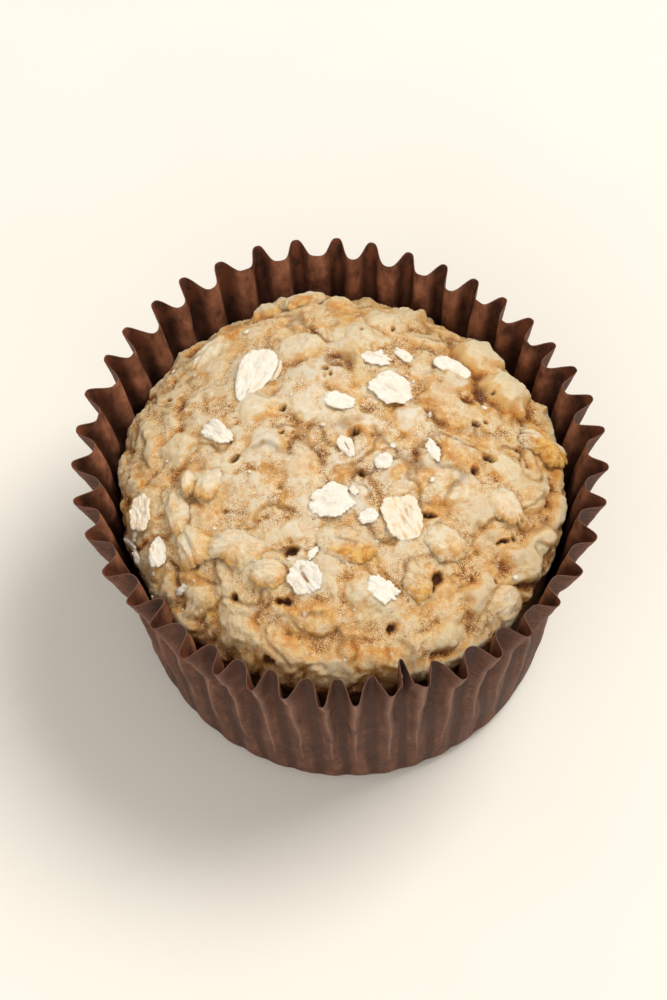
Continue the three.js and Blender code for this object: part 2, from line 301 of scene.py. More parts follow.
class NodeBench:
    """Lays out the nodes of one procedural material."""

    SQUEEZE = 0.25

    def __init__(self, name: str) -> None:
        """Starts a material that has only its shader.

        Args:
            name: The material's name.
        """
        self.material = bpy.data.materials.new(name)
        self.material.use_nodes = True
        self.tree = self.material.node_tree
        self.shader = self.tree.nodes["Principled BSDF"]

    def node(self, kind: str, inputs: dict[str | int, object], **settings: object) -> bpy.types.Node:
        """Adds a node.

        Args:
            kind: The node's type.
            inputs: What its inputs are fed with, by their names or places.
            settings: Its properties, which are set first.

        Returns:
            The node.
        """
        made = self.tree.nodes.new(kind)
        for key, value in settings.items():
            setattr(made, key, value)
        for key, value in inputs.items():
            self.feed(made.inputs[key], value)
        return made

    def feed(self, target: Socket, value: object) -> None:
        """Links a socket into the target, or sets the target to a plain value.

        Args:
            target: An input of a node.
            value: A socket or a plain value.
        """
        if isinstance(value, bpy.types.NodeSocket):
            self.tree.links.new(value, target)
        else:
            target.default_value = value

    def place(self) -> Socket:
        """Gives the object's own coordinates, in metres."""
        return self.node("ShaderNodeTexCoord", {}).outputs["Object"]

    def mark(self, name: str) -> Socket:
        """Gives a number that the mesh holds for each point."""
        return self.node("ShaderNodeAttribute", {}, attribute_name=name).outputs["Fac"]

    def stretched(self, vector: Socket, scale: tuple[float, float, float]) -> Socket:
        """Scales coordinates by a different amount along each axis."""
        return self.node("ShaderNodeMapping", {"Vector": vector, "Scale": scale}).outputs["Vector"]

    def together(self, along: Socket, across: Socket) -> Socket:
        """Joins places along and across a thing, in metres, into coordinates squeezed along it."""
        inputs = {"X": self.times(along, self.SQUEEZE), "Y": across}
        return self.node("ShaderNodeCombineXYZ", inputs).outputs["Vector"]

    def noise(self, vector: Socket, size: float, detail: float = 3.0, rough: float = 0.55) -> Socket:
        """Adds noise whose bumps are about ``size`` millimetres across."""
        inputs = {"Vector": vector, "Scale": 1.0 / (size * MM), "Detail": detail, "Roughness": rough}
        return self.node("ShaderNodeTexNoise", inputs).outputs["Fac"]

    def pits(self, vector: Socket, size: float) -> Socket:
        """Gives the distance to scattered points about ``size`` millimetres apart, 0 at each point."""
        inputs = {"Vector": vector, "Scale": 1.0 / (size * MM)}
        return self.node("ShaderNodeTexVoronoi", inputs).outputs["Distance"]

    def ramp(self, factor: Socket, stops: Sequence[tuple[float, Colour]]) -> Socket:
        """Maps a number to colours.

        Args:
            factor: The number.
            stops: Two or more numbers from 0 to 1, in order, each with its colour.

        Returns:
            The colour.
        """
        made = self.node("ShaderNodeValToRGB", {"Fac": factor})
        elements = made.color_ramp.elements
        while len(elements) < len(stops):
            elements.new(0.5)
        for element, (position, colour) in zip(elements, stops):
            element.position = position
            element.color = colour
        return made.outputs["Color"]

    def eased(self, value: Socket, low: float, high: float, top: float = 1.0) -> Socket:
        """Eases a number from 0 at low to ``top`` at high."""
        inputs = {"Value": value, "From Min": low, "From Max": high, "To Max": top}
        return self.node("ShaderNodeMapRange", inputs, interpolation_type="SMOOTHSTEP").outputs["Result"]

    def math(self, operation: str, first: object, second: object) -> Socket:
        """Does one sum on two numbers."""
        return self.node("ShaderNodeMath", {0: first, 1: second}, operation=operation).outputs["Value"]

    def times(self, first: object, second: object) -> Socket:
        """Multiplies two numbers."""
        return self.math("MULTIPLY", first, second)

    def mix(self, factor: object, first: object, second: object, blend: str = "MIX") -> Socket:
        """Mixes two colours by a factor."""
        inputs = {0: factor, 6: first, 7: second}
        return self.node("ShaderNodeMix", inputs, data_type="RGBA", blend_type=blend).outputs[2]

    def bump(self, height: Socket, distance: float, under: Socket | None = None) -> Socket:
        """Turns a height into a normal.

        Args:
            height: The height, as a share of the distance.
            distance: How deep the relief is, in millimetres.
            under: The normal of a coarser relief under this one, if there is one.

        Returns:
            The normal.
        """
        inputs = {"Strength": 1.0, "Distance": distance * MM, "Height": height}
        if under is not None:
            inputs["Normal"] = under
        return self.node("ShaderNodeBump", inputs).outputs["Normal"]

    def finish(self, colour: Socket, normal: Socket, settings: dict[str, object]) -> bpy.types.Material:
        """Feeds the shader and gives the material.

        Args:
            colour: Base colour.
            normal: Shading normal.
            settings: Other shader inputs by name: plain values, or a socket where it varies.

        Returns:
            The finished material.
        """
        self.feed(self.shader.inputs["Base Color"], colour)
        self.feed(self.shader.inputs["Normal"], normal)
        for key, value in settings.items():
            self.feed(self.shader.inputs[key], value)
        return self.material


@dataclass(frozen=True)
class CrumbFinish:
    """Moist oat crumb: tan and painted shade in the hollows, cream on the hills, golden at the edges of the
    oats.
    """

    # crevice to crest follow the level: the crumb's own tone, with painted shade darkening the hollows.
    crevice: Colour = paint(136, 77, 24)
    shade: Colour = paint(208, 150, 76)
    tan: Colour = paint(246, 213, 160)
    hill: Colour = paint(246, 228, 196)
    crest: Colour = paint(245, 231, 207)
    # Pale specks: fluffy crumb fibres, and painted highlight specks for the moist crumb's sparkle.
    fluff_and_glint: Colour = paint(248, 238, 220)
    cream_low: Colour = paint(236, 211, 165)
    cream_high: Colour = paint(246, 233, 207)
    gold_low: Colour = paint(218, 148, 56)
    gold_high: Colour = paint(244, 200, 116)
    yellow: Colour = paint(226, 184, 96)
    toast: Colour = paint(243, 189, 112)
    # side: multiply tint for painted shade on steep slopes.
    side: Colour = paint(248, 222, 176)
    brim: Colour = paint(248, 238, 216)
    # pore: dark brown for specks in toasted crumb, and painted shade in pores and cracks.
    pore: Colour = paint(100, 56, 18)
    level_stops: tuple[float, ...] = (0.12, 0.32, 0.5, 0.68, 0.9)
    level_drop: float = 0.11
    fuzz_size: float = 0.17
    grain_size: float = 1.0
    clump_size: float = 1.7
    patch_size: float = 3.2
    region_size: float = 9.0

    def material(self) -> bpy.types.Material:
        """Builds the material: crumb by its level, then patches, oats, rims, painted shade on steep sides,
        fluffy specks, dark specks, painted highlight specks and pores painted dark as shade.

        The level runs from hollows to hills, and its low end paints shade into the hollows as well as the
        crumb's browner tone. Noise of five sizes shifts it and breaks up each layer, and the layers of
        oats, rims and pores follow the mesh's own marks.

        Returns:
            The material.
        """
        bench = NodeBench("baked_crumb")
        place = bench.place()
        fuzz = bench.noise(place, self.fuzz_size, 3.0, 0.8)
        grain = bench.noise(place, self.grain_size, 4.0, 0.7)
        patch = bench.noise(place, self.patch_size, 3.0, 0.6)
        region = bench.noise(place, self.region_size, 2.0)
        clump = bench.noise(place, self.clump_size, 2.0, 0.6)
        level = bench.math("ADD", bench.mark("level"), bench.eased(grain, 0.3, 0.7, 0.24))
        ripple = bench.math("SUBTRACT", bench.eased(fuzz, 0.3, 0.7), 0.5)
        depth = bench.math("ADD", bench.eased(clump, 0.35, 0.65, 0.75), 0.32)
        bare = bench.math("SUBTRACT", 1.0, bench.times(bench.mark("cream"), 0.28))
        depth = bench.times(depth, bare)
        level = bench.math("ADD", level, bench.times(ripple, depth))
        level = bench.math("ADD", level, bench.eased(region, 0.35, 0.65, 0.12))
        level = bench.math("SUBTRACT", level, self.level_drop)
        # The low end of this ramp is partly painted shade in the hollows.
        paints = (self.crevice, self.shade, self.tan, self.hill, self.crest)
        colour = bench.ramp(level, list(zip(self.level_stops, paints)))
        toasted = bench.times(bench.eased(patch, 0.48, 0.62, 0.7), bench.eased(level, 0.8, 0.45))
        colour = bench.mix(toasted, colour, self.toast)
        cream = bench.ramp(grain, [(0.34, self.cream_low), (0.56, self.cream_high)])
        mask = bench.eased(patch, 0.68, 0.44)
        colour = bench.mix(bench.times(bench.mark("cream"), mask), colour, cream)
        gold = bench.ramp(grain, [(0.4, self.gold_low), (0.6, self.gold_high)])
        mask = bench.eased(patch, 0.36, 0.54)
        colour = bench.mix(bench.times(bench.mark("gold"), mask), colour, gold)
        mask = bench.times(bench.eased(grain, 0.38, 0.58, 0.7), bench.eased(patch, 0.4, 0.56))
        colour = bench.mix(bench.times(bench.mark("rim"), mask), colour, gold)
        colour = bench.mix(bench.times(bench.mark("yellow"), 0.45), colour, self.yellow)
        colour = bench.mix(bench.mark("brim"), colour, self.brim, "MULTIPLY")
        # Painted shade: steep slopes of the relief are tinted darker and more golden.
        colour = bench.mix(bench.eased(bench.mark("steep"), 0.05, 0.35), colour, self.side, "MULTIPLY")
        fluffy = bench.times(bench.eased(fuzz, 0.54, 0.7, 0.6), bench.eased(level, 0.85, 0.35))
        fluffy = bench.times(fluffy, bench.eased(region, 0.4, 0.6))
        colour = bench.mix(bench.times(fluffy, bare), colour, self.fluff_and_glint)
        specks = bench.eased(bench.pits(place, 1.5), 0.14, 0.07, 0.8)
        colour = bench.mix(bench.times(specks, toasted), colour, self.pore)
        # Painted highlights: small white specks for the moist crumb's sparkle.
        painted_glints = bench.eased(bench.pits(bench.stretched(place, (1.0, 1.3, 0.9)), 0.55), 0.22, 0.08, 0.9)
        painted_glints = bench.times(painted_glints, bench.eased(grain, 0.42, 0.54))
        colour = bench.mix(painted_glints, colour, self.fluff_and_glint)
        # Painted shade: pores and cracks are painted dark.
        colour = bench.mix(bench.mark("pore"), colour, self.pore)
        coarse = bench.bump(grain, 0.32)
        normal = bench.bump(bench.times(ripple, bare), 0.25, coarse)
        rough = bench.eased(grain, 0.35, 0.65, 0.35)
        return bench.finish(colour, normal, {
            "Roughness": bench.math("ADD", rough, 0.32),
            "Specular IOR Level": 0.5,
            "Subsurface Weight": 0.45,
            "Subsurface Radius": (1.0, 0.75, 0.5),
            "Subsurface Scale": 0.55 * MM,
        })


@dataclass(frozen=True)
class RawOatFinish:
    """Dry rolled oats: chalky cream white, tan in the creases."""

    chalk: Colour = paint(213, 207, 194)
    cream: Colour = paint(212, 190, 153)
    gold: Colour = paint(202, 154, 92)
    husk: Colour = paint(150, 100, 56)
    grain_size: float = 0.35
    patch_size: float = 1.5
    streak_size: float = 0.55

    def material(self) -> bpy.types.Material:
        """Builds the material from a mottle, the flake's own tint, its streaks and its creases.

        Returns:
            The material.
        """
        bench = NodeBench("raw_oats")
        place = bench.place()
        grain = bench.noise(place, self.grain_size, 4.0, 0.7)
        patch = bench.noise(place, self.patch_size, 3.0, 0.6)
        over_flake = bench.together(bench.mark("along"), bench.mark("across"))
        streak = bench.noise(over_flake, self.streak_size, 4.0, 0.6)
        tint = bench.mark("cream")
        colour = bench.mix(bench.eased(patch, 0.48, 0.68, 0.35), self.chalk, self.cream)
        colour = bench.mix(bench.times(tint, 0.6), colour, self.cream)
        colour = bench.mix(bench.eased(streak, 0.5, 0.72, 0.25), colour, self.cream)
        wrinkles = bench.times(bench.eased(streak, 0.5, 0.62), bench.eased(patch, 0.4, 0.55))
        colour = bench.mix(bench.times(wrinkles, tint), colour, self.gold)
        colour = bench.mix(bench.mark("husk"), colour, self.husk)
        normal = bench.bump(streak, 0.09, bench.bump(grain, 0.2))
        return bench.finish(colour, normal, {
            "Roughness": 0.85,
            "Specular IOR Level": 0.25,
            "Subsurface Weight": 0.2,
            "Subsurface Radius": (1.0, 0.8, 0.55),
            "Subsurface Scale": 0.4 * MM,
        })


@dataclass(frozen=True)
class CasePaperFinish:
    """Brown greaseproof paper: finely creped, a little shiny, redder inside."""

    dark: Colour = paint(54, 32, 24)
    brown: Colour = paint(98, 61, 45)
    light: Colour = paint(139, 101, 81)
    inside_low: Colour = paint(69, 38, 26)
    inside_high: Colour = paint(146, 93, 65)
    # Dark brown inside: greasy paper, and painted shade in the outward pockets and deeper down.
    grease_and_shade: Colour = paint(42, 22, 14)
    # Reddish painted light: light through the thin paper.
    painted_glow: Colour = paint(112, 58, 34)
    cut_edge: Colour = paint(96, 65, 52)
    wall: float = 37.0
    crepe_size: float = 0.2
    fibre_size: float = 0.25
    blotch_size: float = 2.2

    def material(self) -> bpy.types.Material:
        """Builds the material: brown outside, reddish inside, painted shade in the grooves and deeper
        inside, painted highlights on the outer folds, a painted reddish light through the paper near the
        rim, a pale cut edge.

        Returns:
            The material.
        """
        bench = NodeBench("case_paper")
        place, ridge = bench.place(), bench.mark("ridge")
        depth, inside = bench.mark("depth"), bench.mark("inside")
        below_rim = bench.times(depth, self.wall * MM)
        crepe = bench.noise(bench.together(bench.mark("around"), below_rim), self.crepe_size, 3.0, 0.65)
        fibre = bench.noise(place, self.fibre_size, 3.0, 0.65)
        blotch = bench.noise(bench.stretched(place, (1.0, 1.0, 0.6)), self.blotch_size, 4.0, 0.65)
        mottled = bench.math("ADD", bench.times(blotch, 0.6), bench.times(fibre, 0.4))
        colour = bench.ramp(mottled, [(0.36, self.dark), (0.52, self.brown), (0.74, self.light)])
        colour = bench.mix(bench.eased(crepe, 0.45, 0.7, 0.5), colour, self.light)
        colour = bench.mix(bench.eased(crepe, 0.5, 0.3, 0.38), colour, self.dark)
        # Painted shade: the inner folds' grooves on the outside are darkened.
        colour = bench.mix(bench.eased(ridge, 0.55, 0.05, 0.6), colour, self.dark)
        # Painted highlight: the outer fold ridges near the rim are lightened.
        ridge_highlight = bench.times(bench.eased(ridge, 0.75, 1.0, 0.4), bench.eased(depth, 0.7, 0.1))
        colour = bench.mix(ridge_highlight, colour, self.light)
        # Painted highlight: a thin light line along each outer fold's crease.
        crease_highlight = bench.times(bench.eased(ridge, 0.972, 0.998, 0.85), bench.eased(blotch, 0.34, 0.52))
        crease_highlight = bench.times(crease_highlight, bench.eased(depth, 0.9, 0.6))
        colour = bench.mix(crease_highlight, colour, self.light)
        inner = bench.ramp(blotch, [(0.32, self.inside_low), (0.66, self.inside_high)])
        # Painted shade in the pockets of the outer folds, seen from inside.
        inner = bench.mix(bench.eased(ridge, 0.3, 0.75, 0.7), inner, self.grease_and_shade)
        # Painted light: reddish light through the thin paper on the outer folds near the rim.
        tip = bench.times(bench.eased(depth, 0.2, 0.04), bench.eased(ridge, 0.5, 0.9))
        tip = bench.times(tip, bench.eased(blotch, 0.42, 0.6, 0.7))
        inner = bench.mix(tip, inner, self.painted_glow)
        # Darker deeper down inside: greasy paper and painted shade.
        inner = bench.mix(bench.eased(depth, 0.16, 0.45, 0.8), inner, self.grease_and_shade)
        colour = bench.mix(inside, colour, inner)
        colour = bench.mix(bench.mark("edge"), colour, self.cut_edge)
        crisp = bench.math("SUBTRACT", 1.0, bench.times(inside, 0.75))
        crepe, fibre = (
            bench.times(bench.math("SUBTRACT", height, 0.5), crisp) for height in (crepe, fibre)
        )
        ribbed = bench.bump(crepe, 0.2)
        normal = bench.bump(fibre, 0.1, ribbed)
        return bench.finish(colour, normal, {
            "Roughness": bench.math("ADD", bench.eased(blotch, 0.3, 0.7, 0.2), 0.55),
            "Specular IOR Level": 0.2,
        })


@dataclass(frozen=True)
class FloorFinish:
    """A plain pale surface."""

    colour: Colour = paint(205, 199, 189)
    warm: Colour = paint(210, 205, 195)

    def material(self) -> bpy.types.Material:
        """Builds a matt material with a faint unevenness.

        Returns:
            The material.
        """
        bench = NodeBench("pale_floor")
        grain = bench.noise(bench.place(), 40.0, 2.0)
        tint = bench.mix(grain, self.colour, self.warm)
        return bench.finish(tint, bench.bump(grain, 0.05), {"Roughness": 0.9})


# --------------------------------------------------------------- paper case


@dataclass(frozen=True)
class Pinch:
    """A place where the pleats are pushed together and inwards near the rim."""

    at: float
    half_angle: float
    pull: float
    set_in: float
    extra_depth: float
    narrowing: float


@dataclass(frozen=True)
class CaseForm:
    """Form of the pleated case. Radii are to the outer folds, in millimetres."""

    height: float = 37.0
    floor_radius: float = 26.1
    heel_radius: float = 28.5
    heel_height: float = 3.5
    rim_radius: float = 35.5
    wall_taper: float = 0.15
    flare_start: float = 22.0
    floor_shift: tuple[float, float] = (1.2, -1.7)
    pleats: int = 42
    depth_at_floor: float = 0.14
    depth_at_rim: float = 3.2
    depth_growth: float = 2.1
    rim_sharpness: float = 2.6
    rim_roundness: float = 0.22
    groove_sharpness: float = 1.9
    crease_rise: tuple[float, float] = (3.0, 18.0)
    first_pleat_at: float = -146.5
    drift: tuple[Wave, ...] = (Wave(1, 2.4, -136.0), Wave(2, 1.8, 31.0), Wave(3, 0.75, 2.0))
    unround: tuple[Wave, ...] = (Wave(2, 0.5, -48.0), Wave(3, 0.2, 1.0), Wave(4, 0.25, 7.5))
    pinches: tuple[Pinch, ...] = (
        Pinch(-74.5, 6.0, 0.1, 1.9, 0.4, 1.0),
        Pinch(-137.0, 6.0, 0.3, 0.5, 0.3, 0.0),
        Pinch(-88.0, 24.0, 0.0, 0.0, 0.6, 0.0),
    )
    pinch_start: float = 27.0
    finger_width: float = 0.14
    jitter_depth: float = 0.4
    jitter_radius: float = 0.22
    jitter_turn: float = 0.5
    jitter_height: float = 0.14
    jitter_base: float = 0.25
    sway: float = 0.3
    sway_size: float = 4.0
    sway_squeeze: float = 0.45
    sway_rise: float = 6.0
    turn_sway: float = 1.5
    turn_sway_size: float = 5.0
    turn_sway_radius: float = 30.0
    turn_sway_squeeze: float = 0.5
    crinkle: float = 0.09
    crinkle_size: float = 1.5
    knee_at: float = 27.0
    knee_spread: float = 3.0
    knee_reach: float = 1.6
    knee: float = 0.55

    def out_of_round(self, angle: np.ndarray, height: np.ndarray) -> np.ndarray:
        """Gives the rim's unevenness at an angle, fading evenly to nothing at the floor."""
        return wave_sum(self.unround, angle) * height / self.height

    def axis_at(self, height: np.ndarray) -> np.ndarray:
        """Gives the middle of the case at a height: the floor is shifted, the rim is not."""
        share = 1.0 - np.asarray(height, dtype=float)[..., None] / self.height
        return share * np.array(self.floor_shift)

    def outer_fold_radius(self, height: np.ndarray) -> np.ndarray:
        """Gives the outline of the outer folds.

        A quarter ellipse rounds the bottom edge, then the wall tapers evenly, and above the start of
        the flare it leans out by the square of the height.

        Args:
            height: Heights above the floor.

        Returns:
            Radii from the case's axis.
        """
        left = np.clip(1.0 - height / self.heel_height, 0.0, 1.0)
        heel = self.floor_radius + (self.heel_radius - self.floor_radius) * np.sqrt(1.0 - left**2)
        above = np.clip(height - self.heel_height, 0.0, None)
        flare = self.rim_radius - self.heel_radius - self.wall_taper * (self.height - self.heel_height)
        rise = np.clip((height - self.flare_start) / (self.height - self.flare_start), 0.0, None)
        return heel + self.wall_taper * above + flare * rise**2

    def pleat_depth(self, height: np.ndarray) -> np.ndarray:
        """Gives the depth of the pleats, which grows with a power of the height."""
        share = np.clip(height / self.height, 0.0, 1.0) ** self.depth_growth
        return self.depth_at_floor + (self.depth_at_rim - self.depth_at_floor) * share

    def round_noise(self, pleat: np.ndarray, kind: int) -> np.ndarray:
        """Gives each fold its own number, eased from fold to fold.

        Outer folds are at whole pleats and inner folds at half pleats, so the numbers lie on a ring of
        twice as many places as there are pleats.

        Args:
            pleat: Places round the case, counted in pleats.
            kind: Which of several independent draws is wanted.

        Returns:
            Numbers from -1 to 1.
        """
        place = 2.0 * pleat
        low = np.floor(place)
        share = smooth_step(place - low, 0.0, 1.0)
        folds = 2 * self.pleats
        first, second = draws(low % folds, kind), draws((low + 1) % folds, kind)
        return 2.0 * (first + (second - first) * share) - 1.0

    def crease(self, pleat: np.ndarray, height: np.ndarray) -> np.ndarray:
        """Gives the profile of the pleats: 1 at outer folds, 0 at inner ones.

        The sine of a quarter turn times a power of a raised cosine, blended with a little of the raised
        cosine itself, has narrow round outer folds between broad inner ones, as at the rim. One minus a
        power of its complement has broad outer folds and narrow grooves, as lower down, where the cake
        presses the paper out.

        Args:
            pleat: Places round the case, counted in pleats.
            height: Heights, of the same shape.

        Returns:
            Numbers from 0 to 1.
        """
        wave = (1.0 + np.cos(2.0 * np.pi * pleat)) / 2.0
        high = np.sin(np.pi / 2.0 * wave**self.rim_sharpness)
        high = high + self.rim_roundness * (wave - high)
        low = 1.0 - (1.0 - wave) ** self.groove_sharpness
        return low + smooth_step(height, *self.crease_rise) * (high - low)

    def middle(self, pleat: np.ndarray, height: np.ndarray, sway: SmoothNoise) -> np.ndarray:
        """Gives points on the middle of the paper.

        The radius is the outer folds' outline less the pleat's depth times one minus the crease. Pinches
        pull the pleats together near the rim, and can make the inner folds narrow between broad outer
        ones: one minus a falling exponential of the fourth power of the way from the inner fold. Each
        fold has its own small shifts, which grow with height, and its own dent at a knee in the flare,
        and slow noise sways the wall.

        Args:
            pleat: Places round the case, counted in pleats.
            height: Heights, of the same shape.
            sway: Noise for the wall's slow unevenness.

        Returns:
            Points, with one more axis of length 3 than the input.
        """
        even = self.first_pleat_at + 360.0 * pleat / self.pleats
        angle = even + wave_sum(self.drift, even)
        crease = self.crease(pleat, height)
        from_fold = (pleat % 1.0 - 0.5) / self.finger_width
        narrow = 1.0 - np.exp(-(from_fold**4))
        rise = height / self.height
        growth = self.jitter_base + (1.0 - self.jitter_base) * np.clip(rise, 0.0, 1.0) ** 2
        depth = self.pleat_depth(height) + self.jitter_depth * growth * self.round_noise(pleat, 1)
        radius = self.outer_fold_radius(height) + self.out_of_round(angle, height)
        radius = radius + self.jitter_radius * growth * self.round_noise(pleat, 2)
        for pinch in self.pinches:
            away = (angle - pinch.at + 180.0) % 360.0 - 180.0
            nearness = smooth_step(height, self.pinch_start, self.height)
            nearness = nearness * np.exp(-((away / pinch.half_angle) ** 2))
            angle = angle - pinch.pull * away * nearness
            radius = radius - pinch.set_in * nearness
            depth = depth + pinch.extra_depth * nearness
            crease = crease + pinch.narrowing * nearness * (narrow - crease)
        angle = angle + self.jitter_turn * growth * self.round_noise(pleat, 3)
        knee_at = self.knee_at + self.knee_spread * self.round_noise(pleat, 5)
        knee = self.knee * (0.6 + 0.4 * self.round_noise(pleat, 6))
        knee = knee * np.exp(-(((height - knee_at) / self.knee_reach) ** 2))
        radius = radius - depth * (1.0 - crease) - knee * crease
        ring = [self.turn_sway_radius * turned(angle)[..., :2], self.turn_sway_squeeze * height[..., None]]
        ring = np.concatenate(ring, axis=-1).reshape(-1, 3)
        middle_share = 4.0 * rise * (1.0 - rise)
        turning = sway.at(ring, self.turn_sway_size).reshape(angle.shape)
        angle = angle + self.turn_sway * middle_share * turning
        lifted = height + self.jitter_height * rise**6 * self.round_noise(pleat, 4)
        flat = radius[..., None] * turned(angle)[..., :2] + self.axis_at(height)
        points = np.concatenate([flat, lifted[..., None]], axis=-1)
        places = points.reshape(-1, 3)
        drift = self.sway * sway.at(places * np.array([1.0, 1.0, self.sway_squeeze]), self.sway_size)
        drift = drift + self.crinkle * sway.at(places, self.crinkle_size)
        share = np.clip(height / self.sway_rise, 0.0, 1.0) * drift.reshape(radius.shape)
        points[..., :2] += share[..., None] * turned(angle)[..., :2]
        return points


@dataclass(frozen=True)
class PaperCase:
    """The pleated paper case: one closed thin shell with a flat floor."""

    form: CaseForm = field(default_factory=CaseForm)
    thickness: float = 0.1
    points_per_pleat: int = 24
    heel_rows: int = 8
    wall_rows: int = 40
    edge_width: float = 0.04

    def heights(self) -> np.ndarray:
        """Gives the rows' heights: close together round the heel and at the cut edge.

        Returns:
            Heights from zero up.
        """
        heel = self.form.heel_height * (1.0 - np.cos(np.linspace(0.0, np.pi / 2.0, self.heel_rows)))
        wall = np.linspace(self.form.heel_height, self.form.height - self.edge_width, self.wall_rows)
        return np.concatenate([heel, wall[1:], [self.form.height]])

    def rings(self, side: float) -> np.ndarray:
        """Gives the rows of points of one face of the paper.

        The face is the paper's middle moved along its level normal, found from the way to the points
        just before and just after, by half the thickness.

        Args:
            side: 1 for the outer face, -1 for the inner one.

        Returns:
            Rows by points by 3.
        """
        around = self.form.pleats * self.points_per_pleat
        pleat = np.arange(around) / self.points_per_pleat
        pleat, height = np.meshgrid(pleat, self.heights())
        sway = SmoothNoise(11)
        step = 0.25 / self.points_per_pleat
        middle = self.form.middle(pleat, height, sway)
        along = self.form.middle(pleat + step, height, sway) - self.form.middle(pleat - step, height, sway)
        outward = np.stack([along[..., 1], -along[..., 0], np.zeros(pleat.shape)], axis=-1)
        return middle + side * self.thickness / 2.0 * unit(outward)

    def surface(self) -> Surface:
        """Closes the two faces of the paper over the rim, and each over the floor.

        Returns:
            The shell, with marks for the inner face, the ridges of the outer folds, the depth below
            the rim, the cut edge and the way round in metres.
        """
        outside, inside = self.rings(1.0), self.rings(-1.0)
        inside[0, :, 2] = self.thickness
        outside[0, :, 2] = 0.0
        middle = self.form.axis_at(np.zeros(()))
        below, above = np.append(middle, 0.0), np.append(middle, self.thickness)
        made = loft(below, np.concatenate([outside, inside[::-1]]), above)
        rows, around = outside.shape[:2]
        crease = (1.0 + np.cos(2.0 * np.pi * np.arange(around) / self.points_per_pleat)) / 2.0
        depth = 1.0 - self.heights() / self.form.height
        both = np.concatenate([depth, depth[::-1]])
        edge = np.concatenate([np.arange(rows) == rows - 1, np.arange(rows) == 0]).astype(float)
        face = np.repeat([0.0, 1.0], rows)
        pitch = 2.0 * np.pi * self.form.heel_radius / around
        made.marks = with_poles({
            "inside": np.repeat(face, around),
            "ridge": np.tile(crease, 2 * rows),
            "depth": np.repeat(both, around),
            "edge": np.repeat(edge, around),
            "around": np.tile(MM * pitch * np.arange(around), 2 * rows),
        })
        return made

    def dress(self) -> None:
        """Builds the case in its paper, in place of the case's solid."""
        piece = self.surface().piece("pleated_case", CasePaperFinish().material())
        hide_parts("paper_case")


# --------------------------------------------------------------------- cake


class Tone(Enum):
    """Colour of an oat in the crumb: how cream, how golden and how yellow it is."""

    CRUMB = (0.12, 0.05, 0.0)
    PALE = (0.6, 0.0, 0.0)
    CREAM = (0.95, 0.0, 0.0)
    HONEY = (0.55, 0.45, 0.0)
    GOLD = (0.2, 0.8, 0.0)
    YELLOW = (0.35, 0.1, 1.0)


@dataclass(frozen=True)
class Lump:
    """An oat baked into the crumb: its place from above, its size, its turn and its colour."""

    x: float
    y: float
    length: float
    width: float
    turn: float
    height: float
    tone: Tone
    shelf: float = 0.55
    tilt: float = 0.0
    roundness: float = 0.8


@dataclass(frozen=True)
class Pore:
    """A hole in the crumb: its place from above, its size and its turn."""

    x: float
    y: float
    length: float
    width: float
    turn: float = 0.0
    depth: float = 1.0


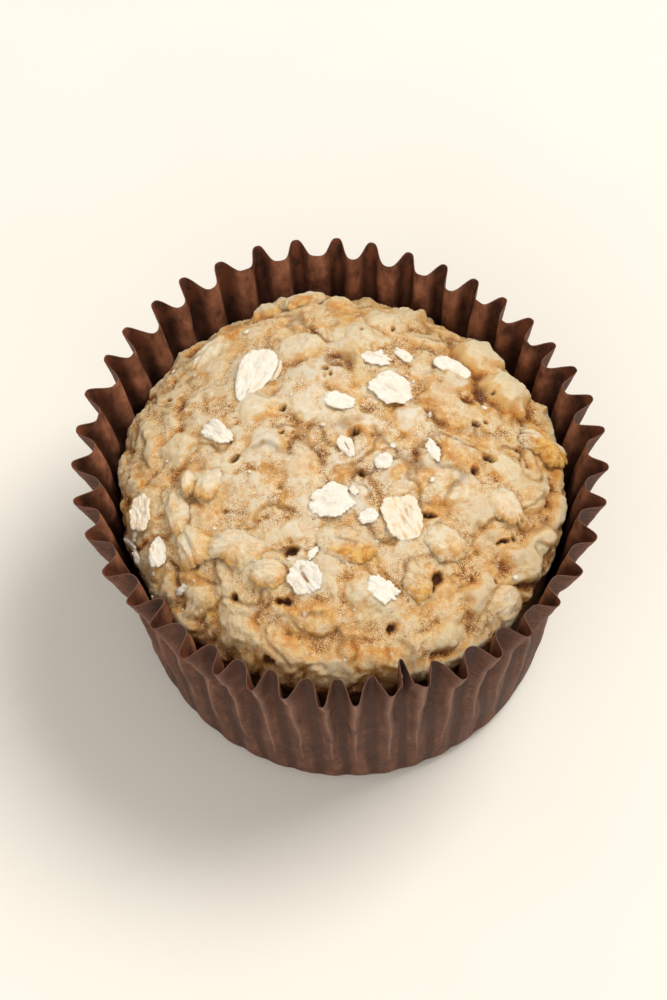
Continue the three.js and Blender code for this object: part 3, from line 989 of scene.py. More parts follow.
OATS_IN_CRUMB = (
    Lump(-9.5, 0.75, 5.2, 4.6, -5, 1.6, Tone.PALE, 0.7),
    Lump(-4.75, -3.5, 5.3, 5.0, 0, 1.2, Tone.HONEY, 0.7),
    Lump(1.0, -3.5, 3.2, 3.0, 0, 1.0, Tone.GOLD, 0.6),
    Lump(-5.75, -12.5, 3.5, 2.5, -60, 1.0, Tone.PALE, 0.5),
    Lump(-4.0, -23.25, 8.2, 4.2, 0, 1.3, Tone.GOLD, 0.6),
    Lump(-3.25, 6.25, 6.8, 6.0, 25, 0.9, Tone.PALE, 0.5),
    Lump(9.5, 4.75, 6.0, 4.6, 40, 1.5, Tone.PALE, 0.6),
    Lump(9.8, -4.5, 5.4, 4.6, -20, 1.0, Tone.GOLD, 0.7),
    Lump(18.9, 16.9, 7.2, 6.6, 5, 3.4, Tone.PALE, 0.67, 0.0, 0.5),
    Lump(21.8, 11.2, 8.6, 7.0, -20, 3.2, Tone.PALE, 0.67, 0.0, 0.5),
    Lump(28.2, 0.8, 4.2, 3.4, 80, 1.2, Tone.GOLD, 0.7),
    Lump(28.4, -4.4, 5.4, 3.8, 80, 2.0, Tone.CRUMB, 0.7),
    Lump(21.6, -1.8, 5.4, 4.4, -20, 1.4, Tone.PALE, 0.5),
    Lump(26.0, -9.8, 6.4, 4.8, 45, 2.4, Tone.PALE, 0.67, 0.0, 0.6),
    Lump(24.0, -13.6, 7.6, 5.4, 35, 2.4, Tone.CRUMB, 0.7),
    Lump(17.75, -18.75, 7.4, 4.4, 30, 1.9, Tone.CRUMB, 0.7),
    Lump(13.5, -24.25, 6.5, 4.2, 10, 1.3, Tone.PALE, 0.6),
    Lump(0.0, -27.25, 5.6, 5.2, 0, 1.2, Tone.CRUMB, 0.7),
    Lump(-13.2, -24.0, 6.8, 5.2, -25, 1.4, Tone.PALE, 0.6),
    Lump(-9.6, 24.4, 4.4, 3.2, 10, 1.7, Tone.PALE, 0.35),
    Lump(0.2, 26.0, 5.4, 5.0, 0, 1.9, Tone.HONEY, 0.7),
    Lump(-5.2, 23.4, 6.4, 4.4, 15, 1.0, Tone.HONEY, 0.6),
    Lump(-27.4, -2.0, 3.6, 3.4, -30, 0.9, Tone.GOLD, 0.7),
    Lump(-27.2, -6.4, 4.0, 3.4, -80, 0.9, Tone.YELLOW, 0.7),
    Lump(14.0, 8.25, 6.2, 6.0, -30, 1.8, Tone.HONEY, 0.6),
    Lump(-21.0, 1.5, 6.2, 5.4, 20, 1.3, Tone.PALE, 0.6),
    Lump(-5.25, 16.0, 8.4, 5.4, 10, 1.4, Tone.PALE, 0.5),
    Lump(6.25, 22.6, 7.5, 5.4, -10, 1.0, Tone.PALE, 0.6),
    Lump(12.5, 19.5, 6.4, 5.6, -20, 1.0, Tone.CRUMB, 0.7),
    Lump(-11.5, -7.75, 6.6, 5.4, -15, 0.8, Tone.CRUMB, 0.7),
    Lump(-11.25, 6.0, 5.6, 5.0, -10, 1.0, Tone.PALE, 0.6),
    Lump(2.75, -19.75, 4.0, 3.2, 0, 0.9, Tone.PALE, 0.6),
    Lump(1.8, 14.6, 4.6, 3.6, -40, 0.8, Tone.YELLOW, 0.7),
    Lump(3.4, 11.2, 3.6, 2.8, -20, 0.7, Tone.YELLOW, 0.7),
    Lump(-19.3, -16.4, 4.6, 3.2, -10, 1.2, Tone.GOLD, 0.6),
    Lump(-20.6, -21.0, 5.0, 4.2, -30, 1.3, Tone.HONEY, 0.6),
    Lump(-16.9, -20.6, 3.4, 3.0, 0, -0.7, Tone.YELLOW, 0.7),
    Lump(-14.5, 21.25, 5.6, 4.6, 15, 1.3, Tone.GOLD, 0.5),
    Lump(15.6, 0.0, 6.6, 6.0, 25, 2.0, Tone.GOLD, 0.8),
    Lump(5.5, -27.0, 8.4, 3.6, 0, 1.4, Tone.GOLD, 0.6),
    Lump(-7.25, -26.5, 7.0, 4.2, -5, 1.6, Tone.HONEY, 0.6),
    Lump(25.0, -5.2, 5.0, 3.4, 40, 1.3, Tone.HONEY, 0.5),
    Lump(15.2, -6.9, 4.0, 3.2, 20, 1.0, Tone.CREAM, 0.6),
)

PORES = (
    Pore(-13.5, -1.25, 1.7, 1.2, 45),
    Pore(-6.25, -15.25, 1.6, 1.6),
    Pore(-13.5, -19.75, 1.1, 1.0),
    Pore(-6.75, -21.0, 2.1, 1.1, -5),
    Pore(11.75, -9.5, 2.0, 1.1, 5),
    Pore(13.0, -17.5, 1.9, 1.4, 35),
    Pore(6.8, -23.7, 1.6, 1.3, 55),
    Pore(3.1, -4.0, 1.0, 0.9),
    Pore(17.5, -2.5, 1.0, 1.2),
    Pore(23.75, -16.25, 2.2, 1.1, 20),
    Pore(2.2, 2.0, 1.1, 0.8),
    Pore(-8.75, -27.0, 1.6, 1.5),
    Pore(-1.9, 11.4, 0.7, 0.5, 20),
    Pore(-1.2, 10.8, 0.5, 0.4, -30),
    Pore(-1.8, 10.4, 0.45, 0.4, 70),
    Pore(21.4, -11.6, 2.2, 0.7, 12, 0.9),
    Pore(22.6, -11.0, 1.1, 0.6, -40, 0.9),
    Pore(19.25, -0.75, 2.0, 0.8, -30, 0.9),
)


@dataclass(frozen=True)
class CrownForm:
    """Smooth form of the cake, before any relief, in millimetres."""

    case: CaseForm = field(default_factory=CaseForm)
    floor: float = 0.65
    floor_radius: float = 24.5
    side_clearance: float = 1.3
    shoulder_height: float = 29.6
    shoulder_radius: float = 30.2
    rise: float = 11.6
    fullness: float = 2.2
    roundness: float = 1.5
    shoulder_blend: float = 4.0
    tuck_height: float = 2.5

    def over(self, across: np.ndarray) -> tuple[np.ndarray, np.ndarray]:
        """Gives the crown over points of the unit disc.

        The crown is a superellipse turned about the case's axis: (share of the radius) ** fullness plus
        (share of the rise) ** roundness is one. Its normal is the slope of that sum.

        Args:
            across: N by 2 points of the unit disc.

        Returns:
            Points and outward unit normals, N by 3 each.
        """
        share = np.clip(np.linalg.norm(across, axis=1), 0.0, 1.0)
        angle = np.degrees(np.arctan2(across[:, 1], across[:, 0]))
        height = np.full(len(across), self.shoulder_height)
        edge = self.shoulder_radius + self.case.out_of_round(angle, height)
        up = np.clip(1.0 - share**self.fullness, 0.0, None) ** (1.0 / self.roundness)
        out = turned(angle)
        points = out * (edge * share)[:, None]
        points[:, :2] += self.case.axis_at(height)
        points[:, 2] = self.shoulder_height + self.rise * up
        slope_out = self.fullness / edge * share ** (self.fullness - 1.0)
        slope_up = self.roundness / self.rise * up ** (self.roundness - 1.0)
        normals = out * slope_out[:, None]
        normals[:, 2] = slope_up
        return points, unit(normals)

    def middle(self) -> np.ndarray:
        """Gives the place of the crown's axis, seen from above."""
        return self.case.axis_at(np.array(self.shoulder_height))

    def under(self, spots: np.ndarray) -> np.ndarray:
        """Gives the points of the unit disc that lie under N by 2 places seen from above."""
        return (spots - self.middle()) / self.shoulder_radius

    def side(self, angle: np.ndarray, height: np.ndarray) -> tuple[np.ndarray, np.ndarray]:
        """Gives the cake's side, which follows the inner folds of the paper.

        Args:
            angle: Angles round the cake.
            height: Heights, of the same shape.

        Returns:
            Points and outward level normals, each with one more axis of length 3.
        """
        radius = self.case.outer_fold_radius(height) - self.case.pleat_depth(height)
        radius = radius - self.side_clearance + self.case.out_of_round(angle, height)
        blend = smooth_step(height, self.shoulder_height - self.shoulder_blend, self.shoulder_height)
        edge = self.shoulder_radius + self.case.out_of_round(angle, height)
        radius = radius + (np.minimum(edge, radius) - radius) * blend
        tuck = smooth_step(height, self.tuck_height, self.floor)
        radius = radius + (self.floor_radius - radius) * tuck
        out = turned(angle)
        points = out * radius[..., None]
        points[..., :2] += self.case.axis_at(height)
        points[..., 2] = height
        return points, out


@dataclass(frozen=True)
class Cake:
    """The cake: a lumpy, porous crown over sides that the paper hides."""

    form: CrownForm = field(default_factory=CrownForm)
    cells: int = 276
    edge_crowding: float = 0.15
    side_rows: int = 16
    small_lumps: int = 170
    small_pores: int = 14
    row_crowding: float = 1.9
    relief_fade: float = 6.0
    swell_height: float = 0.8
    swell_size: float = 11.0
    crag_height: float = 1.5
    crag_size: float = 6.0
    crack_depth: float = 0.3
    crack_size: float = 4.2
    fold_height: float = 0.34
    fold_size: float = 1.9
    grit_height: float = 0.3
    grit_size: float = 0.9
    hill_mean: float = 0.3
    mound_height: float = 0.6
    mound_shelf: float = 0.9
    mound_spread: tuple[float, float] = (1.25, 1.35)
    wide_bend: float = 1.1
    wide_bend_size: float = 3.6
    fine_bend: float = 0.3
    fine_bend_size: float = 1.4
    union_blend: float = 0.9
    oval_power: float = 2.2
    most_cover: float = 0.75
    cover_smoothing: float = 0.65
    pore_halo: float = 0.22
    rim_ruffle: float = 0.9
    ruffle_over: tuple[float, float] = (24.0, 30.0)
    # The level mark becomes tone and painted shade in the hollows; the side levels keep the sides inside
    # the paper dark as painted shade.
    level_middle: float = 0.51
    level_reaches: tuple[float, float] = (1.1, 3.0)
    level_gains: tuple[float, float] = (0.5, 0.32)
    side_shade_level: float = 0.14
    side_gain: float = 0.3
    side_shade_top: float = 0.6
    bottom_level: float = 0.25
    brim_over: tuple[float, float] = (0.25, 0.95)
    paper_gap: float = 0.4
    paper_squeeze: float = 1.2

    def disc(self) -> np.ndarray:
        """Gives the crown's grid: squares from -1 to 1 mapped to circles of the unit disc.

        The longer of a point's two coordinates becomes its radius, and their quotient its angle. Rows
        are set a little closer together near the edge.

        Returns:
            (cells + 1) squared by 2 points, row by row.
        """
        line = np.linspace(-1.0, 1.0, self.cells + 1)
        s, t = (axis.ravel() for axis in np.meshgrid(line, line))
        wide = np.abs(s) > np.abs(t)
        radius = np.where(wide, s, t)
        safe = np.where(radius == 0.0, 1.0, radius)
        angle = np.where(wide, 45.0 * t / safe, 90.0 - 45.0 * s / safe)
        share = np.abs(radius)
        radius = np.sign(radius) * (share * (1.0 + self.edge_crowding) - self.edge_crowding * share**3)
        return radius[:, None] * turned(angle)[:, :2]

    def border(self) -> np.ndarray:
        """Finds the grid's border.

        Returns:
            Indices of its points, anticlockwise from the grid's first corner.
        """
        row, last = self.cells + 1, self.cells
        step = np.arange(last)
        return np.concatenate(
            [step, step * row + last, last * row + (last - step), (last - step) * row]
        )

    def rule_lumps(self) -> list[Lump]:
        """Spreads small lumps evenly over the crown in a sunflower spiral, with seeded sizes.

        Returns:
            The lumps, from the crown's middle out.
        """
        index = np.arange(self.small_lumps)
        share = np.sqrt((index + 0.2 + 0.6 * draws(index, 1)) / self.small_lumps)
        spot = share[:, None] * turned(index * GOLDEN_ANGLE + 20.0 * (draws(index, 2) - 0.5))
        spot = spot[:, :2] * self.form.shoulder_radius
        length = 1.8 + 5.0 * draws(index, 3) ** 1.3
        width = length * (0.6 + 0.4 * draws(index, 4))
        height = 0.2 + 0.13 * length * draws(index, 5)
        tilt = 1.6 * (draws(index, 7) - 0.5)
        tones = (Tone.CRUMB, Tone.CRUMB, Tone.PALE, Tone.HONEY)
        return [
            Lump(*spot[i], length[i], width[i], 360.0 * draws(i, 6), height[i], tones[i % 4], 0.85, tilt[i])
            for i in index
        ]

    def rule_pores(self) -> list[Pore]:
        """Spreads small pores over the crown, with seeded places and sizes.

        Returns:
            The pores.
        """
        index = np.arange(self.small_pores)
        share = np.sqrt(draws(index, 21)) * 0.97
        spot = share[:, None] * turned(360.0 * draws(index, 22))[:, :2] * self.form.shoulder_radius
        size = 0.5 + 0.7 * draws(index, 23) ** 2
        return [
            Pore(*spot[i], size[i], size[i] * (0.5 + 0.4 * draws(i, 24)), 180.0 * draws(i, 25), 0.6)
            for i in index
        ]

    def mounds(self) -> list[Lump]:
        """Heaps a low mound of crumb round each soaked oat.

        Returns:
            The mounds, in the order of the oats.
        """
        along, across = self.mound_spread
        heap = (self.mound_height, Tone.CRUMB, self.mound_shelf)
        return [
            Lump(oat.x, oat.y, along * oat.length, across * oat.width, oat.turn, *heap)
            for oat in SOAKED_OATS
        ]

    def bent(self, base: np.ndarray) -> np.ndarray:
        """Bends places by two sizes of noise, so that ovals laid out over them come out irregular.

        Args:
            base: N by 3 places.

        Returns:
            The bent places, N by 3.
        """
        noise = SmoothNoise(3)
        shifts = (31.0, 57.0, 83.0)
        wide = np.stack([noise.at(base + shift, self.wide_bend_size) for shift in shifts], axis=1)
        fine = np.stack([noise.at(base - shift, self.fine_bend_size) for shift in shifts], axis=1)
        return base + self.wide_bend * wide + self.fine_bend * fine

    def local(self, spot: Lump | Pore, places: np.ndarray) -> tuple[np.ndarray, np.ndarray, np.ndarray]:
        """Finds the points near a lump or pore and their places along and across it.

        Args:
            spot: The lump or pore.
            places: N by 3 places on the smooth cake.

        Returns:
            Indices of the near points, and their signed places along the length and across it, each
            as a share of the half size.
        """
        under = self.form.under(np.array([[spot.x, spot.y]]))
        centre, normal = (values[0] for values in self.form.over(under))
        heading = turned(spot.turn)
        heading = unit(heading - heading @ normal * normal)
        reach = places - centre
        near = np.flatnonzero(np.einsum("ij,ij->i", reach, reach) < spot.length**2)
        along = reach[near] @ heading
        across = reach[near] @ np.cross(normal, heading)
        return near, 2.0 * along / spot.length, 2.0 * across / spot.width

    def relief(self, base: np.ndarray) -> dict[str, np.ndarray]:
        """Works out how far each point of the smooth cake moves out, and its marks.

        Slow noise swells the crown. Tilted oval plates with steep borders are joined by their larger
        height, with rounded creases between them. Ridged noise adds crags and folds, most where there is
        no plate and towards the paper. Narrow cracks follow the zeros of another noise, layered noise
        adds grit, and pores are cut in. Plates and pores are laid out over bent places.

        Args:
            base: N by 3 points of the smooth cake.

        Returns:
            The height and the marks cream, gold, yellow, rim and pore, N numbers each.
        """
        crags, grit = SmoothNoise(5), SmoothNoise(7)
        places = self.bent(base)
        height = np.zeros(len(base))
        cover, rim = np.zeros(len(base)), np.zeros(len(base))
        tones = np.zeros((len(base), 3))
        for lump in [*self.rule_lumps(), *self.mounds(), *OATS_IN_CRUMB]:
            near, along, across = self.local(lump, places)
            inside = 1.0 - np.abs(along) ** self.oval_power - np.abs(across) ** self.oval_power
            border = np.clip(inside / (1.5 * lump.shelf), 0.0, 1.0)
            slope = np.clip(1.0 + lump.tilt * along, 0.1, None)
            rise = lump.height * border**lump.roundness * slope
            height[near] = smooth_max(height[near], rise, self.union_blend)
            inner = smooth_step(inside, 0.0, 0.4)
            tones[near] += inner[:, None] * (np.array(lump.tone.value) - tones[near])
            edge = smooth_step(inside, -0.2, 0.1) * smooth_step(inside, 0.5, 0.15) * lump.tone.value[0]
            rim[near] = np.maximum(rim[near] * (1.0 - inner), edge)
            cover[near] = np.maximum(cover[near], inner * min(self.most_cover, 0.35 + 0.3 * lump.height))
        from_middle = np.linalg.norm(base[:, :2], axis=1)
        bare = 1.0 - self.cover_smoothing * cover
        bare *= 1.0 + self.rim_ruffle * smooth_step(from_middle, *self.ruffle_over)
        height += self.swell_height * crags.at(base, self.swell_size)
        height += self.crag_height * bare * (crags.hills(places, self.crag_size, 0.06) - self.hill_mean)
        cracks = np.exp(-((crags.at(places + 21.0, self.crack_size) / 0.12) ** 2))
        cracks = cracks * smooth_step(crags.at(base + 60.0, 7.0), -0.05, 0.25)
        height -= self.crack_depth * cracks
        height += self.fold_height * bare * (crags.hills(places + 9.0, self.fold_size) - self.hill_mean)
        gritty = self.grit_height * (1.0 - 0.4 * cover)
        height += gritty * (grit.hills(base, self.grit_size, 0.05) - self.hill_mean)
        height += 0.5 * self.grit_height * grit.layered(base, 1.6, 2, 0.7)
        hole, ragged = np.zeros(len(base)), 0.55 * grit.layered(base + 40.0, 0.9, 2, 0.8)
        for pore in [*self.rule_pores(), *PORES]:
            near, along, across = self.local(pore, base + 0.4 * (places - base))
            inside = 1.0 + ragged[near] - along**2 - across**2
            dip = smooth_step(inside, 0.0, 0.5)
            height[near] -= pore.depth * (dip + self.pore_halo * smooth_step(inside, -1.6, 0.5))
            hole[near] = np.maximum(hole[near], dip)
        return {
            "height": height,
            "cream": tones[:, 0],
            "gold": tones[:, 1],
            "yellow": tones[:, 2],
            "rim": rim,
            # The pore mark, holes and cracks, is painted dark as shade by the crumb's finish.
            "pore": np.maximum(smooth_step(hole, 0.3, 0.8), 0.4 * cracks),
        }

    def standing(self, height: np.ndarray, reach: float) -> np.ndarray:
        """Finds how high the crown stands over its surroundings.

        The heights are blurred by a Gaussian, by its product with their spectrum, and taken from the
        heights themselves.

        Args:
            height: Relief over the crown's grid, row by row.
            reach: Size of the Gaussian in millimetres.

        Returns:
            Millimetres above the surroundings, row by row.
        """
        row = self.cells + 1
        grid = height.reshape(row, row)
        cell = 2.0 * self.form.shoulder_radius / self.cells
        rate = np.fft.fftfreq(row, d=cell)
        squared = rate[:, None] ** 2 + np.fft.rfftfreq(row, d=cell)[None, :] ** 2
        window = np.exp(-2.0 * (np.pi * reach) ** 2 * squared)
        blurred = np.fft.irfft2(np.fft.rfft2(grid) * window, s=grid.shape)
        return (grid - blurred).ravel()

    def steepness(self, points: np.ndarray, out: np.ndarray) -> np.ndarray:
        """Marks how far the crown's surface leans away from the smooth cake under it, for painted shade on
        steep slopes.

        The surface's own normal is the cross product of the grid's two central differences.

        Args:
            points: The crown's grid with its relief, row by row.
            out: Normals of the smooth crown, row by row.

        Returns:
            One minus the cosine of the angle between the two normals.
        """
        row = self.cells + 1
        grid = points.reshape(row, row, 3)
        facing = unit(np.cross(np.gradient(grid, axis=1), np.gradient(grid, axis=0))).reshape(-1, 3)
        return 1.0 - np.einsum("ij,ij->i", facing, out)

    def brim(self, places: np.ndarray) -> np.ndarray:
        """Marks where the crumb is darkened towards the paper: eased up with the distance from the axis."""
        reach = np.linalg.norm(places[:, :2] - self.form.middle(), axis=1)
        return smooth_step(reach / self.form.shoulder_radius, *self.brim_over)

    def kept_in(self, points: np.ndarray) -> np.ndarray:
        """Keeps points inside the inner folds of the paper, by pulling far ones towards the axis.

        The way past a knee just inside the paper is squeezed by one minus a falling exponential, so
        that lumps stay lumps and none reaches the paper.

        Args:
            points: N by 3 points of the cake.

        Returns:
            The points, moved level where they were too far out.
        """
        case = self.form.case
        height = np.minimum(points[:, 2], case.height)
        middle = case.axis_at(height)
        level = points[:, :2] - middle
        reach = np.linalg.norm(level, axis=1)
        angle = np.degrees(np.arctan2(level[:, 1], level[:, 0]))
        room = case.outer_fold_radius(height) - case.pleat_depth(height) + case.out_of_round(angle, height)
        knee = room - self.paper_gap - self.paper_squeeze
        past = np.clip(reach - knee, 0.0, None)
        kept = reach - past + self.paper_squeeze * (1.0 - np.exp(-past / self.paper_squeeze))
        share = kept / np.maximum(reach, 1.0)
        return np.concatenate([middle + level * share[:, None], points[:, 2:]], axis=1)

    def surface(self) -> Surface:
        """Builds the closed cake: crown grid, side rows, flat bottom.

        The relief fades out below the shoulder. The crown's level mark, from hollow to hill, adds how
        far it stands over its near and its wide surroundings; the crumb's finish darkens its low end,
        partly as painted shade in the hollows. On the sides the mark follows the relief and stays low,
        which paints shade on the sides inside the paper.

        Returns:
            The surface with its colour marks.
        """
        crown, crown_out = self.form.over(self.disc())
        border, shoulder = self.border(), self.form.shoulder_height
        edge_angle = np.degrees(np.arctan2(*(crown[border, :2] - self.form.middle()).T[::-1]))
        share = np.linspace(0.0, 1.0, self.side_rows + 1)[1:] ** self.row_crowding
        levels = shoulder + (self.form.floor - shoulder) * share
        angle, height = np.meshgrid(edge_angle, levels)
        side, side_out = self.form.side(angle, height)
        base = np.concatenate([crown, side.reshape(-1, 3)])
        out = np.concatenate([crown_out, side_out.reshape(-1, 3)])
        found = self.relief(base)
        lift = found.pop("height")
        fade = smooth_step(base[:, 2], shoulder - self.relief_fade, shoulder)
        points = self.kept_in(base + out * (fade * lift)[:, None])
        points = np.concatenate([points, [[*self.form.case.axis_at(np.zeros(())), self.form.floor]]])
        marks = {key: np.append(values, 0.0) for key, values in found.items()}
        crown_lift = lift[: len(crown)]
        side_lift = lift[len(crown) :] - crown_lift.mean()
        near, wide = (
            gain * self.standing(crown_lift, reach)
            for gain, reach in zip(self.level_gains, self.level_reaches)
        )
        level = np.clip(self.level_middle + near + wide, 0.0, 1.0)
        # Low level on the sides: painted shade inside the paper.
        below = np.clip(self.side_shade_level + self.side_gain * side_lift, 0.0, self.side_shade_top)
        marks["level"] = np.concatenate([level, below, [self.bottom_level]])
        marks["brim"] = np.append(self.brim(base), 1.0)
        marks["steep"] = np.zeros(len(points))
        marks["steep"][: len(crown)] = self.steepness(points[: len(crown)], crown_out)
        quads, triangles = self.faces(border, len(crown), len(points) - 1)
        return Surface(points, quads, triangles, marks)

    def faces(self, border: np.ndarray, crown: int, bottom: int) -> tuple[np.ndarray, np.ndarray]:
        """Joins the crown's grid, the side rows under its border and the bottom's middle.

        Args:
            border: Indices of the crown's border.
            crown: Number of points in the crown.
            bottom: Index of the bottom's middle.

        Returns:
            Quads and triangles, facing out.
        """
        row, around = self.cells + 1, len(border)
        corner = (np.arange(self.cells)[:, None] * row + np.arange(self.cells)).ravel()
        top = np.stack([corner, corner + 1, corner + row + 1, corner + row], axis=-1)
        rings = crown + around * np.arange(self.side_rows)[:, None] + np.arange(around)
        rings = np.concatenate([border[None, :], rings])
        after = np.roll(rings, -1, axis=1)
        side = np.stack([rings[1:], after[1:], after[:-1], rings[:-1]], axis=-1).reshape(-1, 4)
        fan = np.stack([np.full(around, bottom), after[-1], rings[-1]], axis=-1)
        return np.concatenate([top, side]), fan

    def dress(self, crumb: bpy.types.Material) -> None:
        """Builds the cake in its crumb, in place of the muffin's solid.

        Args:
            crumb: The crumb's finish.
        """
        piece = self.surface().piece("cake", crumb)
        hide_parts("muffin")


# --------------------------------------------------------------- oat flakes


@dataclass(frozen=True)
class Flake:
    """A raw rolled oat on the crown: place from above, size, turn and character."""

    x: float
    y: float
    length: float
    width: float
    turn: float
    squareness: float = 2.2
    ragged: float = 0.07
    taper: float = 0.0
    curl: float = 0.25
    cream: float = 0.0
    slit: float = 0.0
    pitch: float = 0.0
    roll: float = 0.0
    thickness: float = 0.5
    plumpness: float = 6.0
    sunk: float = 0.15
    gold: float = 0.0
    droop: float = 0.0


@dataclass(frozen=True)
class SoakedFlake(Flake):
    """An oat that swelled in the batter: thicker, softer, its rim drooping under the crumb."""

    ragged: float = 0.14
    curl: float = -0.2
    cream: float = 1.0
    thickness: float = 1.3
    plumpness: float = 3.6
    sunk: float = 0.72
    gold: float = 0.3
    droop: float = 0.6


SOAKED_OATS = (
    SoakedFlake(-16.75, -4.5, 5.6, 3.9, -115, 2.4, pitch=16, gold=0.1),
    SoakedFlake(-19.5, -4.2, 4.2, 1.9, -85, 2.2, pitch=12, gold=0.0, sunk=0.3),
    SoakedFlake(-21.1, -7.6, 7.0, 3.4, -88, 2.2, pitch=8, gold=0.4, cream=0.9),
    SoakedFlake(-19.2, -12.4, 6.8, 4.8, -68, 2.1, taper=-0.6, slit=0.5, pitch=14, gold=0.2, sunk=0.5),
    SoakedFlake(-13.2, -13.6, 8.4, 5.4, -18, 3.0, roll=-16, gold=0.5, sunk=0.6),
    SoakedFlake(13.9, -12.6, 6.2, 5.0, -25, 2.4, taper=-0.15, roll=-12, gold=0.8, cream=0.9),
    SoakedFlake(21.3, -6.8, 6.0, 4.4, -50, 2.6, taper=0.3, pitch=16, gold=0.1, cream=1.1, sunk=0.55),
    SoakedFlake(26.5, 3.5, 7.8, 4.4, -16, 3.2, 0.22, taper=0.1, pitch=9, gold=2.2, thickness=1.7,
                cream=0.3, sunk=0.15, droop=0.4),
    SoakedFlake(-4.8, 25.2, 5.6, 3.4, 12, 3.2, 0.25, roll=-20, gold=0.0, thickness=1.9, cream=0.6,
                sunk=0.45, droop=0.3),
    SoakedFlake(-17.4, 17.4, 7.4, 4.6, 42, 2.6, roll=8, gold=0.0),
    SoakedFlake(0.9, -13.7, 8.4, 5.2, -14, 2.4, slit=0.8, roll=-8, gold=1.1, cream=0.3, sunk=0.8),
    SoakedFlake(10.0, -18.6, 4.6, 3.6, -60, 2.2, pitch=8, gold=1.4, cream=0.1, sunk=0.7),
    SoakedFlake(21.8, -18.4, 5.6, 5.0, 50, 3.2, gold=0.3, cream=0.8),
    SoakedFlake(-8.9, -17.4, 4.6, 4.4, -5, 2.6, roll=-12, gold=0.2, sunk=0.7),
)

RAW_OATS = (
    Flake(-11.0, 10.8, 9.2, 4.8, -112, 2.1, 0.04, 0.35, 0.2, 0.05, pitch=-9),
    Flake(-8.5, 12.2, 4.0, 2.0, 78, 2.0, 0.05, 0.0, 0.1, 0.9, sunk=0.3),
    Flake(4.75, 14.25, 4.0, 2.6, -20, 2.2, 0.2, 0.0, 0.3),
    Flake(8.75, 16.1, 3.2, 1.7, -50, 2.2, 0.16),
    Flake(7.0, 9.5, 5.8, 5.2, -35, 2.4, 0.09, 0.15, 0.4, 0.1, 0.35),
    Flake(15.25, 14.0, 5.6, 2.6, -32, 2.6, 0.06, 0.0, 0.3, 0.0, 0.0, 0.0, 20.0),
    Flake(0.0, 6.4, 4.3, 2.6, -5, 2.3, 0.08, 0.1, 0.3),
    Flake(-15.8, 2.7, 5.0, 2.8, -30, 2.2, 0.13, 0.1, 0.6, 0.0, 0.3),
    Flake(1.0, -0.25, 3.6, 2.0, -62, 2.0, 0.1, 0.3, 0.3, 0.2, 0.7),
    Flake(5.75, -2.5, 2.5, 2.3, 5, 2.4, 0.1),
    Flake(12.1, -0.25, 3.5, 1.6, -72, 2.2, 0.3),
    Flake(-1.0, -8.5, 5.6, 4.4, 15, 2.4, 0.16, 0.0, 0.3),
    Flake(3.75, -10.25, 2.7, 1.9, 25, 2.4, 0.12),
    Flake(8.25, -10.1, 6.3, 5.0, -70, 3.0, 0.1, 0.12, 0.35, 0.6, 0.2),
    Flake(-4.25, -18.25, 4.5, 4.3, -58, 2.3, 0.09, 0.0, 0.3, 0.0, 1.0),
    Flake(-3.25, -15.25, 2.2, 1.0, 55, 2.2, 0.25),
    Flake(5.5, -19.5, 4.3, 3.3, -25, 2.2, 0.18, 0.0, 0.3),
    Flake(-23.75, -12.25, 4.3, 2.4, 78, 1.9, 0.09, 0.3, 0.2, 0.1, 0.0, 0.0, 25.0),
    Flake(-25.5, -6.75, 5.0, 2.9, 80, 2.7, 0.13, 0.0, 0.2, 0.5, 0.0),
    Flake(1.9, -6.9, 1.7, 1.1, -60, 2.2, 0.2),
    Flake(-20.5, -17.75, 2.0, 1.0, 25, 2.2, 0.3),
    Flake(-27.6, -9.6, 2.6, 1.2, -55, 2.2, 0.3),
    Flake(-26.9, -11.6, 2.2, 1.0, -55, 2.2, 0.3),
)


